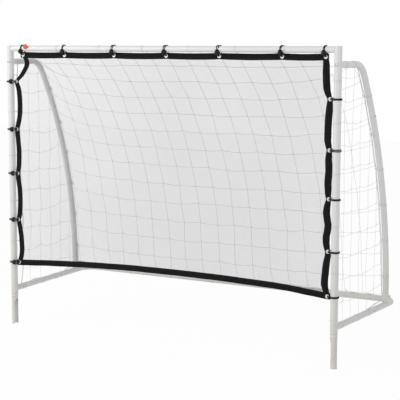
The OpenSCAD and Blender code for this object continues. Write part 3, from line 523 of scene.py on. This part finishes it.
def webbing_strip(name, stations):
    """Folded tape through stations of (middle, outward half width, push out of the plane)."""
    fold = [(half_tape - fold_r + fold_r * math.cos(math.radians(a)),
             fold_r * math.sin(math.radians(a))) for a in range(-90, 91, 30)]
    leaf = [(6, 1.42), (0, 1.4), (-6, 1.42), (-12, 1.5), (-14.4, 1.42), (-15, 1.05),
            (-15, 0.5), (-14.3, 0.25)]
    profile = fold + leaf + [(w, -t) for w, t in leaf[::-1]]
    n = len(profile)
    round_it = [0.0]
    for a, b in zip(profile, profile[1:] + profile[:1]):
        round_it.append(round_it[-1] + math.dist(a, b) / 1000)
    points, faces, spots, run = [], [], [], 0.0
    for i, (middle, out, push) in enumerate(stations):
        points += [row(middle[0] + out[0] * w / half_tape, push + t,
                       middle[1] + out[1] * w / half_tape) for w, t in profile]
        if i:
            last = run
            run += math.dist(middle, stations[i - 1][0]) / 1000
            for k in range(n):
                a, b = (i - 1) * n + k, (i - 1) * n + (k + 1) % n
                faces.append((a, b, b + n, a + n))
                spots += [(last, round_it[k]), (last, round_it[k + 1]),
                          (run, round_it[k + 1]), (run, round_it[k])]
    faces += [tuple(range(n)), tuple(len(points) - 1 - k for k in range(n))]
    spots += [(0.0, 0.0)] * (2 * n)
    strip = new_piece(name, points, faces, spots)
    face_outwards(strip)
    return strip


def gather(x, z):
    """How much of its width the tape keeps at a place, and how far off the next eyelet is."""
    near = min(math.hypot(x - gx, z - gz) for gx, gz in grommet_points)
    return 1 - 0.13 * math.exp(-(near / 15) ** 2), near


def wander(x, z, seed):
    """Push of the tape out of the panel's plane, none at the eyelets."""
    free = min(1.0, max(0.0, (gather(x, z)[1] - 14) / 40))
    slow, quick = math.sin((x + z) / 41 + seed), math.sin((x - 0.6 * z) / 17 + 2 * seed)
    return free * (1.5 * slow + 0.9 * quick)


def side_stations(line, low, high, seed, sign, swell):
    """Stations every 5 mm up a side. The tape lies wider by swell away from its eyelets."""
    count = int((high - low) / station_gap)
    out = []
    for i in range(count + 1):
        z = low + (high - low) * i / count
        x = line(z)
        keep, near = gather(x, z)
        keep += 0.02 * math.sin(z / 23 + seed) + swell * min(1.0, max(0.0, (near - 12) / 45))
        wide = sign * half_tape * min(1 + swell, keep)
        out.append(((x, z), (wide, 0), 0.85 * wander(x, z, seed)))
    return out


def long_stations(line, start, end, seed, sign):
    """Stations every 5 mm along the top or bottom."""
    count = int((end - start) / station_gap)
    out = []
    for i in range(count + 1):
        x = start + (end - start) * i / count
        z = line(x)
        keep = 1 - 0.4 * (1 - gather(x, z)[0]) + 0.012 * math.sin(x / 31 + seed)
        out.append(((x, z), (0, sign * half_tape * min(1, keep)), wander(x, z, seed)))
    return out


top_edge, side_low, side_high = top_z + half_tape, lower_tie + 7, top_z - 7
runs = {
    "webbing_top": long_stations(upper_z, left_x(top_edge) - half_tape,
                                 right_x(top_edge) + half_tape, 0.4, 1),
    "webbing_bottom": long_stations(lower_z, -side_x - half_tape, side_x + half_tape, 1.9, -1),
    "webbing_left": side_stations(left_x, side_low, side_high, 3.1, -1, 0.0),
    "webbing_right": side_stations(right_x, side_low, side_high, 4.6, 1, 0.16),
}
cutters = []
for gx, gz in grommet_points:
    bpy.ops.mesh.primitive_cylinder_add(vertices=32, radius=hole_r, depth=hole_depth,
                                        location=row(gx, 0, gz), rotation=(math.pi / 2, 0, 0))
    cutters.append(bpy.context.object)
for cutter in cutters:
    cutter.select_set(True)
bpy.ops.object.join()
punch = bpy.context.object
tapes = {}
for node, stations in runs.items():
    tape = webbing_strip(node + "_tape", stations)
    work(tape, "BOOLEAN", operation="DIFFERENCE", solver="EXACT", object=punch)
    bpy.ops.object.shade_smooth_by_angle(angle=math.radians(42))
    tapes[node] = tape
bpy.data.objects.remove(punch)

# Two rows of stitches on each face, each stitch a small pulled loop
stitch_pitch, stitch_size = 4.6, (3.5, 0.75, 0.6)
stitch_rows, eyelet_clear = (-11.6, -8.4), 10.8
bpy.ops.mesh.primitive_uv_sphere_add(segments=5, ring_count=4, radius=0.5,
                                     rotation=(0, math.pi / 2, 0))
bpy.ops.object.transform_apply(location=False, rotation=True, scale=False)
stitch = bpy.context.object
loop_points = np.array([v.co[:] for v in stitch.data.vertices])
loop_faces = [tuple(p.vertices) for p in stitch.data.polygons]
bpy.data.objects.remove(stitch)
points, faces = [], []
for stations in runs.values():
    since = 0.0
    for (a, out, push), (b, _, _) in zip(stations, stations[1:]):
        since += math.dist(a, b)
        while since >= stitch_pitch:
            since -= stitch_pitch
            way = np.array([b[0] - a[0], 0.0, b[1] - a[1]])
            way /= np.linalg.norm(way)
            side = np.array([out[0], 0.0, out[1]]) / half_tape
            for w in stitch_rows:
                x, z = a[0] + out[0] * w / half_tape, a[1] + out[1] * w / half_tape
                if min(math.hypot(x - gx, z - gz) for gx, gz in grommet_points) < eyelet_clear:
                    continue
                for face in (-1, 1):
                    middle = np.array([a[0], push + face * fold_r, a[1]]) + side * w
                    faces += [tuple(len(points) + k for k in f) for f in loop_faces]
                    for p in loop_points * stitch_size:
                        points.append(row(*(middle + way * p[0] + side * p[1]
                                            + np.array([0.0, p[2], 0.0]))))
stitches = new_piece("webbing_stitches", points, faces)
face_outwards(stitches)
bpy.ops.object.shade_smooth()


def ridges_over(tree, turns):
    """A rounded ridge for each whole turn."""
    return calc(tree, "ABSOLUTE", calc(tree, "SINE", calc(tree, "MULTIPLY", turns, math.pi)))


# Woven tape: ribs across its run, with finer warp yarns crossing them. The grooves between
# them are painted darker: painted shade.
weave, given, made = start_group(
    "weave", {"Place": "Vector", "Rib": "Float", "Yarn": "Float"},
    {"Height": "Float", "Tone with groove shade": "Float"})
place = put(weave, "SeparateXYZ", in_0=given["Place"]).outputs
ribs = ridges_over(weave, calc(weave, "DIVIDE", place["X"], given["Rib"]))
warp = ridges_over(weave, calc(weave, "DIVIDE", place["Y"], given["Yarn"]))
both = calc(weave, "MULTIPLY", ribs, warp)
weave.links.new(both, made["Height"])
fluff = ranged(weave, cloudy(weave, given["Place"], 60.0, 4.0), 0.3, 0.7, 0.75, 1.3)
# Random fluff in the tone, and painted shade in the grooves between ribs and yarns
tone = calc(weave, "MULTIPLY", fluff, ranged(weave, both, 0.0, 1.0, 0.55, 1.1))
weave.links.new(tone, made["Tone with groove shade"])

tape_black = (0.009, 0.009, 0.0105)
webbing, tree, inputs = finish_of("webbing", tape_black, 0.8)
inputs["Sheen Weight"].default_value = 0.03
inputs["Specular IOR Level"].default_value = 0.1
woven = use(tree, weave, Place=coordinate(tree, "UV"), Rib=0.0013, Yarn=0.0009)
tree.links.new(scaled(tree, tape_black, woven["Tone with groove shade"]), inputs["Base Color"])
emboss(tree, inputs, woven["Height"], 0.6, 0.0003)
stitches.data.materials.append(
    skinned("stitch_thread", (0.013, 0.013, 0.015), 0.6, 2500, 0.3, 0.2))
for node, tape in tapes.items():
    tape.data.materials.clear()
    tape.data.materials.append(webbing)
    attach(tape, "frame")
    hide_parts(node)
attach(stitches, "frame")


# ---- Eyelets ----
# Two-part pressed eyelets through the webbing, bright nickel plate with faint rings left by
# the press. The panel is one sheet with its webbing and eyelets.

nickel = skinned("nickel", (0.62, 0.61, 0.595), 0.26, 800, 0.12, 0.05, metallic=1.0)
coat_nodes(nickel, "grommets")


# ---- Ball ties ----
# Each tie is one elastic cord with a braided cover. Both its ends are knotted inside a ball.
# The doubled cord goes round the tube and through the eyelet, and its loop hooks the ball.


def unit(v):
    return np.asarray(v, float) / np.linalg.norm(v)


def sweep(path, radius, sides=6):
    """Points, faces and UVs (metres along, share round) of a closed tube along a path."""
    p = np.array([tuple(q) for q in path], float)
    way = np.gradient(p, axis=0)
    way /= np.linalg.norm(way, axis=1)[:, None]
    spoke = np.cross(way[0], [0.31, 0.17, 0.93])
    angles = np.arange(sides) * 2 * math.pi / sides
    rings = []
    for at, w in zip(p, way):
        spoke = spoke - w * (spoke @ w)
        spoke /= np.linalg.norm(spoke)
        rings.append(at + radius * (np.cos(angles)[:, None] * spoke
                                    + np.sin(angles)[:, None] * np.cross(w, spoke)))
    along = np.concatenate([[0.0], np.cumsum(np.linalg.norm(np.diff(p, axis=0), axis=1))])
    faces, spots = [], []
    for i in range(len(p) - 1):
        for k in range(sides):
            a, b = i * sides + k, i * sides + (k + 1) % sides
            faces.append((a, b, b + sides, a + sides))
            spots += [(along[i], k / sides), (along[i], (k + 1) / sides),
                      (along[i + 1], (k + 1) / sides), (along[i + 1], k / sides)]
    last = (len(p) - 1) * sides
    faces += [tuple(range(sides - 1, -1, -1)), tuple(last + k for k in range(sides))]
    spots += [(end, k / sides) for end in (0.0, along[-1]) for k in range(sides)]
    return np.concatenate(rings), faces, spots


def lay_up(name, parts, material):
    """One piece out of several swept or modelled shapes."""
    points, faces, spots = [], [], []
    for part_points, part_faces, part_spots in parts:
        faces += [tuple(len(points) + k for k in f) for f in part_faces]
        points += [tuple(p) for p in part_points]
        spots += part_spots
    piece = new_piece(name, points, faces, spots)
    piece.data.polygons.foreach_set("use_smooth", [True] * len(faces))
    piece.data.materials.append(material)
    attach(piece, "frame")
    return piece


def rounded(path, times=3):
    """The path with its corners cut off several times, which leaves one smooth line."""
    p = np.array([tuple(q) for q in path], float)
    for _ in range(times):
        a, b = p[:-1], p[1:]
        cuts = np.stack([a * 0.75 + b * 0.25, a * 0.25 + b * 0.75], 1).reshape(-1, 3)
        p = np.concatenate([p[:1], cuts[1:-1], p[-1:]])
    return p


post_r, bar_r, bar_height = 17.5, 15.0, 1236.0
ball_r, cord_r, ball_in, strand_gap = 10.0, 2.1, 16.0, 2.2
spreads = {"top_3": 6.5, "top_4": 6.0, "top_5": 7.0, "top_6": 3.5, "right_4": 3.6}


def ball_place(tube_r, lean):
    return np.array([ball_in, -math.sqrt((tube_r + ball_r + 0.6) ** 2 - ball_in ** 2), lean])


def strand(tube_r, lean, k, spread):
    """One strand in the tie's own frame: z along the tube, x towards the eyelet."""
    wrap = (tube_r + cord_r + 0.2) / math.cos(math.radians(27))
    hole, ball, p = tube_r + 17, ball_place(tube_r, lean), k * strand_gap
    points = [ball + 5 * unit([-0.85, 0.5, 0.25 * k]), ball + 11 * unit([-0.85, 0.5, 0.23 * k])]
    for i, wide, along in ((0, 0.7, 0.6), (1, 1, 0.15), (2, 1, 0), (3, 0.6, 0)):
        a = math.radians(226 - 54 * i)
        points.append(np.array([wrap * math.cos(a), wrap * math.sin(a),
                                p + k * wide * (spread - strand_gap) + lean * along]))
    points += [np.array([hole - 1, 4, 1.2 * p]), np.array([hole + 0.5, -4, 1.2 * p]),
               np.array([(hole + ball[0]) / 2 + 3, ball[1] * 0.62, p + lean * 0.7])]
    points += [ball + np.array([a, b, c * k]) for a, b, c in
               ((9.5, 8.5, 7), (0.5, 7, 10.6), (-7, 5, 9.6), (-11.5, 3, 5.6))]
    return points


# Laid or braided yarns on a cord: ridges that wind one way, and the other way too in a braid.
# The grooves between the ridges are painted darker: painted shade.
yarns, given, made = start_group(
    "laid_yarns", {"Place": "Vector", "Turns": "Float", "Strands": "Float", "Cross": "Float"},
    {"Height": "Float", "Tone with groove shade": "Float"})
place = put(yarns, "SeparateXYZ", in_0=given["Place"]).outputs
down = calc(yarns, "MULTIPLY", place["X"], given["Turns"])
about = calc(yarns, "MULTIPLY", place["Y"], given["Strands"])
one_way = ridges_over(yarns, calc(yarns, "ADD", down, about))
other_way = ridges_over(yarns, calc(yarns, "SUBTRACT", down, about))
ridge = calc(yarns, "MAXIMUM", one_way, calc(yarns, "MULTIPLY", other_way, given["Cross"]))
yarns.links.new(ridge, made["Height"])
soil = ranged(yarns, cloudy(yarns, given["Place"], 24.0, 3.0), 0.3, 0.7, 0.9, 1.06)
# Random soil in the tone, and painted shade in the grooves between the ridges
tone = calc(yarns, "MULTIPLY", soil, ranged(yarns, ridge, 0.0, 1.0, 0.72, 1.02))
yarns.links.new(tone, made["Tone with groove shade"])


def corded(name, colour, roughness, turns, strands, cross, depth):
    """A material whose yarns wind along the piece."""
    material, tree, inputs = finish_of(name, colour, roughness)
    inputs["Sheen Weight"].default_value = 0.05
    inputs["Specular IOR Level"].default_value = 0.2
    wound = use(tree, yarns, Place=coordinate(tree, "UV"), Turns=turns, Strands=strands,
                Cross=cross)
    tree.links.new(scaled(tree, colour, wound["Tone with groove shade"]), inputs["Base Color"])
    emboss(tree, inputs, wound["Height"], 0.7, depth)
    return material


elastic_cord = corded("elastic_cord", (0.006, 0.006, 0.007), 0.75, 640.0, 8.0, 1.0, 0.0004)
ball_plastic = skinned("ball_plastic", (0.007, 0.007, 0.008), 0.45, 700, 0.18, 0.15)
shader_of(ball_plastic)["Specular IOR Level"].default_value = 0.25

# The ball: a sphere with a raised parting line and one mouth for both strands
bpy.ops.mesh.primitive_uv_sphere_add(segments=32, ring_count=24, radius=ball_r / 1000)
ball = bpy.context.object
bpy.ops.object.mode_set(mode="EDIT")
bpy.ops.mesh.select_all(action="DESELECT")
shape = bmesh.from_edit_mesh(ball.data)
for face in shape.faces:
    face.select = face.calc_center_median().z > 0.0087
bmesh.update_edit_mesh(ball.data)
bpy.ops.mesh.extrude_region_move(TRANSFORM_OT_translate={"value": (0, 0, -0.006)})
bpy.ops.transform.resize(value=(0.86, 0.86, 0.5))
bpy.ops.mesh.select_all(action="DESELECT")
shape = bmesh.from_edit_mesh(ball.data)
for v in shape.verts:
    v.select = abs(v.co.z) < 0.0001
shape.select_flush(True)
bmesh.update_edit_mesh(ball.data)
bpy.ops.transform.resize(value=(1.018, 1.018, 1))
bpy.ops.object.mode_set(mode="OBJECT")
work(ball, "BEVEL", width=0.0006, segments=2, limit_method="ANGLE", angle_limit=math.radians(50))
bpy.ops.object.shade_smooth_by_angle(angle=math.radians(35))
ball.data.materials.append(ball_plastic)

quarter = math.radians(90)
tie_frames = [("top_%d" % i, bar_r, -4.0, Matrix.Translation((f * half_span, 0, bar_height))
               @ Matrix.Rotation(quarter, 4, "Y")) for i, f in enumerate(top_ties, 1)]
tie_frames += [("left_%d" % i, post_r, 0.0, Matrix.Translation((-half_span, 0, z)))
               for i, z in enumerate(left_tie_z[:5], 1)]
tie_frames += [("right_%d" % i, post_r, 0.0, Matrix.Translation((half_span, 0, z))
                @ Matrix.Rotation(2 * quarter, 4, "Z")) for i, z in enumerate(right_tie_z[:5], 1)]
for name, tube_r, lean, tie in tie_frames:
    spread = spreads.get(name, strand_gap)
    middle = ball_place(tube_r, lean)
    back = strand(tube_r, lean, 1, spread)
    route = strand(tube_r, lean, -1, spread) + [middle + np.array([-13.5, 1.5, 0])] + back[::-1]
    path = [row(*(tie @ Vector(p))) for p in rounded(route)]
    cord = lay_up("tie_cord_" + name, [sweep(path, cord_r / 1000, 10)], elastic_cord)
    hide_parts("bungee_cords")
    end = link("tie_ball_" + name, ball.data.copy())
    mouth = Vector((-0.85, 0.5, 0)).to_track_quat("Z", "Y").to_matrix().to_4x4()
    end.data.transform(Matrix.Translation(row(*(tie @ Vector(middle))))
                       @ tie.to_3x3().to_4x4() @ mouth)
    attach(end, "frame")
    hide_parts("bungee_balls")
bpy.data.objects.remove(ball)


# ---- Red tab ----
# A plain square of red plastic sheet, set point down on the crossbar's front beside the first
# tie, with rounded corners and softly rounded edges.

tab_side, tab_thick, tab_corner = 0.020, 0.0010, 0.0022
bpy.ops.mesh.primitive_plane_add(size=tab_side, rotation=(math.pi / 2, 0, 0))
bpy.ops.object.transform_apply(location=False, rotation=True, scale=False)
tab = bpy.context.object
tab.name = "red_tab_sheet"
bpy.ops.object.mode_set(mode="EDIT")
bpy.ops.mesh.select_all(action="SELECT")
bpy.ops.mesh.bevel(offset=tab_corner, segments=4, affect="VERTICES")
bpy.ops.mesh.inset(thickness=0.0012)
bpy.ops.object.mode_set(mode="OBJECT")
for turn in (Matrix.Rotation(math.pi / 4, 4, "Y"), Matrix.Diagonal((1.4, 1, 1.06, 1)),
             Matrix.Rotation(math.radians(9), 4, "Y"),
             Matrix.Translation(row(-788, -16.8, 1245))):
    tab.data.transform(turn)
work(tab, "SOLIDIFY", thickness=tab_thick, offset=0)
work(tab, "BEVEL", width=0.0003, segments=2, limit_method="ANGLE")
bpy.ops.object.shade_smooth_by_angle(angle=math.radians(40))
tab.data.materials.append(skinned("red_plastic", (0.66, 0.045, 0.04), 0.42, 900, 0.2, 0.05))
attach(tab, "frame")
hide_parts("red_tab")


# ---- Back net ----
# Knotted white twine in squares of 100 mm. It leaves the crossbar, hangs on a flatter line
# than the side tubes, follows them at its edges and is tied along the rear bar.

arm_height, arm_run, foot_run = 1170.0, 190.0, 580.0
arc_r, arc_y, bend_angle, bend_r = 2038.79, -1458.79, 31.74, 100
tube_foot = (foot_run, 50.0)
net_head, net_foot = (24.5, 1226.0), (702.45, 18.0)
net_half, net_splay = 869.77, 0.04366      # half the net's width at the front, and how it grows
rng = random.Random(11)


def on_arc(angle):
    """A place (y, z) on the side tubes' long arc."""
    a = math.radians(angle)
    return np.array([arc_y + arc_r * math.cos(a), tube_foot[1] + arc_r * math.sin(a)])


def on_bend(angle):
    """A place (y, z) on the arms' bend."""
    a = math.radians(angle)
    return np.array([arm_run + bend_r * math.cos(a), arm_height - bend_r + bend_r * math.sin(a)])


def along_line(line, share):
    """The point a share of the way along a line of points."""
    run = np.concatenate([[0.0], np.cumsum(np.linalg.norm(np.diff(line, axis=0), axis=1))])
    return np.array([np.interp(share * run[-1], run, line[:, k]) for k in range(line.shape[1])])


# The net's own lines (y, z): its edges follow the arms and side tubes, its middle hangs free
edge_line = np.array([net_head, (76, arm_height), (arm_run, arm_height)]
                     + [on_bend(90 - (90 - bend_angle) * i / 6) for i in range(1, 7)]
                     + [on_arc(bend_angle * (1 - i / 24)) for i in range(1, 25)] + [net_foot])
free_line = np.array([(1 - t) ** 2 * np.array(net_head) + 2 * t * (1 - t) * np.array([573, 766.3])
                      + t * t * np.array([577, 50]) for t in np.linspace(0, 1, 30)] + [net_foot])


def net_place(u, v):
    """Where the net hangs: u is -1 to 1 across, v is 0 at the crossbar and 1 at the rear bar."""
    slack = 1 - abs(u) ** 6
    y, z = along_line(edge_line, v) * (1 - slack) + along_line(free_line, v) * slack
    return np.array([(net_half + net_splay * y) * u, y, z])


bpy.ops.mesh.primitive_ico_sphere_add(subdivisions=2, radius=1)
lump = bpy.context.object
knot_points = np.array([v.co[:] for v in lump.data.vertices])
knot_faces = [tuple(p.vertices) for p in lump.data.polygons]
bpy.data.objects.remove(lump)
knot_spots = [(knot_points[k][0] * 0.004, knot_points[k][1] * 0.5) for f in knot_faces for k in f]


def knot(middle, along, size=1.0):
    """A small pulled knot: a squashed lump with the turns of its twine round it."""
    w = unit(along)
    side = unit(np.cross(w, [rng.uniform(-1, 1), rng.uniform(-1, 1), rng.uniform(-0.3, 0.3)]))
    up = np.cross(w, side)
    turns = 1 + 0.16 * np.sin(knot_points[:, 0] * 5 + knot_points[:, 1] * 4)
    shape = knot_points * turns[:, None] * np.array([2.1, 1.6, 1.4]) * size / 1000
    points = np.array(middle) + shape[:, :1] * w + shape[:, 1:2] * side + shape[:, 2:] * up
    return points, knot_faces, knot_spots


def twine_run(a, b, sag, radius=0.76):
    """Twine between two knots, with its own small sag and sway."""
    a, b = np.array(tuple(a)), np.array(tuple(b))
    sway = np.array([rng.uniform(-1, 1), rng.uniform(-1, 1), 0]) * 0.0008
    hang = np.array([0, 0, -sag / 1000]) + sway
    path = [a + (b - a) * t + hang * 4 * t * (1 - t) for t in (0, 0.25, 0.5, 0.75, 1)]
    return sweep(path, radius / 1000, 5)


net_twine = corded("net_twine", (0.9, 0.9, 0.885), 0.62, 600.0, 3.0, 0.0, 0.0003)
columns, rows = 18, 14
knots = {}
for j in range(rows + 1):
    for i in range(columns + 1):
        u, v = 2 * i / columns - 1, j / rows
        loose = 0.0 if i in (0, columns) or j in (0, rows) else 1.0
        dip = 0.009 * (1 - u ** 4) * math.sin(math.pi * v)
        place = net_place(u + loose * rng.uniform(-0.005, 0.005),
                          v + loose * (dip + rng.uniform(-0.004, 0.004)))
        place[1] += loose * rng.uniform(-4, 4)
        if j in (0, rows):
            place[2] -= 3.5 * abs(math.sin(math.pi * (u * 869 + 20) / 248))
        knots[i, j] = row(*place)
parts = []
for (i, j), here in knots.items():
    if (i + 1, j) in knots:
        sag = rng.uniform(1.0, 4.5) if 0 < j < rows else 1.0
        parts.append(twine_run(here, knots[i + 1, j], sag))
    if (i, j + 1) in knots:
        parts.append(twine_run(here, knots[i, j + 1], rng.uniform(0.0, 0.8)))
    parts.append(knot(here, (1, 0, 0) if i in (0, columns) else (0, 0.4, 0.9)))
back_net = lay_up("back_net_twine", parts, net_twine)
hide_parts("back_net")


# ---- Side nets ----
# The same twine inside a twisted edge rope, just inside the side tubes. Between its ties the
# rope draws in, and the squares hang a little slack and uneven.

inset = 20.7
fronts = {-1: 24.0, 1: 40.3}      # the rope's front run from the post's axis, on each side
post_shares, arm_shares = [0.2, 0.37, 0.56, 0.74, 0.89], (0.35, 0.8)
curve_shares, rail_shares = [0.08, 0.24, 0.4, 0.56, 0.72, 0.9], [0.12, 0.42, 0.64]
net_middle = np.array([300.0, 560.0])
side_columns, square, edge_clear, edge_reach = 6, 102.0, 25, 150
edge_rope = corded("edge_rope", (0.88, 0.88, 0.865), 0.6, 250.0, 3.0, 0.0, 0.0009)


def crossings(axis, value):
    """Where the rope's outline crosses a level of one axis, lowest and highest."""
    hits = []
    for a, b in zip(rope, np.roll(rope, -1, axis=0)):
        if (a[axis] - value) * (b[axis] - value) < 0:
            t = (value - a[axis]) / (b[axis] - a[axis])
            hits.append((a + (b - a) * t)[1 - axis])
    return (min(hits), max(hits)) if len(hits) > 1 else None


for s, node in ((-1, "side_net_left"), (1, "side_net_right")):
    # Where the rope is held: up the post, along the arm, down the curve, back along the rail
    front = fronts[s]
    held = [(front, bar_height * f) for f in post_shares] + [(front, arm_height)]
    held += [(arm_run * f, arm_height) for f in arm_shares]
    held += [tuple(on_bend(a)) for a in (86, 68, 50)]
    held += [tuple(on_arc(bend_angle * f)) for f in curve_shares[::-1]]
    held += [tube_foot, (696.4, 18), (620, 18)]
    held += [(foot_run * f, 0) for f in rail_shares[::-1]] + [(front, 0)]
    rope = []
    for a, b in zip(held, held[1:] + held[:1]):
        a, b = np.array(a, float), np.array(b, float)
        across_it = unit([-(b - a)[1], (b - a)[0]])
        if (net_middle - a) @ across_it < 0:
            across_it = -across_it
        reach = np.linalg.norm(b - a)
        bow = min(5.0, reach * 0.02)
        if s < 0 and tuple(b) != tube_foot:
            slack = 0.03 if tuple(a) == tube_foot else 0.15
            bow = min(28.0, reach * slack) * rng.uniform(0.5, 1.2)
        steps = max(3, int(reach / 22))
        rope += [a + (b - a) * k / steps + across_it * bow * math.sin(math.pi * k / steps)
                 for k in range(steps)]
    rope = np.array(rope)

    grid_y = [front + (foot_run - front) / side_columns * i for i in range(1, side_columns)]
    grid_z = [square * k for k in range(1, 12)]
    knots = {}
    uneven = 11 if s < 0 else 6
    for i, y in enumerate(grid_y):
        for k, z in enumerate(grid_z):
            ends = crossings(1, z)
            if ends and ends[0] + edge_clear < y < ends[1] - edge_clear:
                belly = math.sin(math.pi * (y - ends[0]) / (ends[1] - ends[0]))
                knots[i, k] = np.array([-inset - 5 * belly + rng.uniform(-2, 2),
                                        y + rng.uniform(-uneven, uneven),
                                        z - 13 * belly + rng.uniform(-uneven, uneven)])
    parts = []
    for (i, k), here in knots.items():
        at = on_side(s, *here)
        parts.append(knot(at, (0, 0.3, 0.95)))
        for di, dk in ((1, 0), (0, 1)):
            if (i + di, k + dk) in knots:
                sag = rng.uniform(2, 7) if di else rng.uniform(0, 1)
                parts.append(twine_run(at, on_side(s, *knots[i + di, k + dk]), sag, 0.7))
        for di, dk in ((1, 0), (-1, 0), (0, 1), (0, -1)):
            if (i + di, k + dk) in knots:
                continue
            ends = crossings(1 if di else 0, grid_z[k] if di else grid_y[i])
            if ends:
                end = ends[1] if di + dk > 0 else ends[0]
                meet = np.array([-inset, end, grid_z[k]] if di else [-inset, grid_y[i], end])
                if np.linalg.norm(meet - here) < edge_reach:
                    sag = rng.uniform(1, 4) if di else 0.5
                    parts.append(twine_run(at, on_side(s, *meet), sag))
                    parts.append(knot(on_side(s, *meet), (0, 0.3, 0.95), 1.25))
    net = lay_up(node + "_twine", parts, net_twine)
    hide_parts(node)
    loop = rounded([(-inset, y, z) for y, z in np.concatenate([rope, rope[:2]])], 1)
    path = [on_side(s, *p) for p in loop[1:-1]]
    rope_piece = lay_up(node + "_rope", [sweep(path, 0.002, 8)], edge_rope)
    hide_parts(node)


# ---- Net ties ----
# Short lengths of the same twine, taken twice round the tube and the edge rope and finished
# in a reef knot, with two cut ends left hanging.

tie_r, rope_r, hem_r = 0.62, 2.0, 1.2
parts = []


def tie_at(tube_r, away, cord, spot):
    """A tie round a tube at the origin and a cord at (away, 0). spot places a point."""
    big, small = tube_r + tie_r + 0.15, cord + tie_r + 0.1
    open_to = math.acos((big - small) / away)
    turn = [(big * math.cos(a), big * math.sin(a))
            for a in np.linspace(open_to, 2 * math.pi - open_to, 22)]
    turn += [(away + small * math.cos(a), small * math.sin(a))
             for a in np.linspace(-open_to, open_to, 9)]
    path = [spot(x, y, (lap - 0.5 + k / len(turn)) * 1.7)
            for lap in range(2) for k, (x, y) in enumerate(turn)]
    parts.append(sweep(path, tie_r / 1000, 6))
    tip = spot(away + small + 0.8, 0.0, 0.6)
    parts.append(knot(tip, spot(1, 0, 0) - spot(0, 0, 0), 1.35))
    for _ in range(2):
        lean = Vector((rng.uniform(-0.006, 0.006), rng.uniform(-0.006, 0.006),
                       -rng.uniform(0.010, 0.017)))
        kink = Vector((rng.uniform(-0.002, 0.002), rng.uniform(-0.002, 0.002), 0.001))
        end = [tip, tip + lean * 0.35 + kink, tip + lean * 0.75, tip + lean]
        parts.append(sweep(rounded(end, 2), tie_r / 1000, 5))


for s, front in fronts.items():
    reach = math.hypot(front, inset)
    for f in post_shares:
        tie_at(post_r, reach, rope_r, lambda x, y, z: on_side(
            s, (-inset * x - front * y) / reach, (front * x - inset * y) / reach,
            bar_height * f + z))
    for f in arm_shares:
        tie_at(bar_r, inset, rope_r,
               lambda x, y, z: on_side(s, -x, arm_run * f + z, arm_height + y))
    for f in curve_shares:
        (cy, cz), a = on_arc(f * bend_angle), math.radians(f * bend_angle)
        tie_at(bar_r, inset, rope_r, lambda x, y, z: on_side(
            s, -x, cy + y * math.cos(a) - z * math.sin(a), cz + y * math.sin(a) + z * math.cos(a)))
    for f in rail_shares:
        tie_at(bar_r, inset, rope_r, lambda x, y, z: on_side(s, -x, foot_run * f + z, y))
for i in (2, 4, 6, 8, 10, 12):
    for (ty, tz), (ny, nz) in (((0.0, bar_height), net_head), ((net_foot[0], 0.0), net_foot)):
        x0 = (net_half + net_splay * ny) * (2 * i / 14 - 1) + 20
        reach = math.hypot(ny - ty, nz - tz)
        cy, cz = (ny - ty) / reach, (nz - tz) / reach
        tie_at(bar_r, reach, hem_r, lambda x, y, z: row(
            x0 + z, ty + cy * x - cz * y, tz + cz * x + cy * y))
ties = lay_up("net_tie_cords", parts, net_twine)
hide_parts("net_ties")
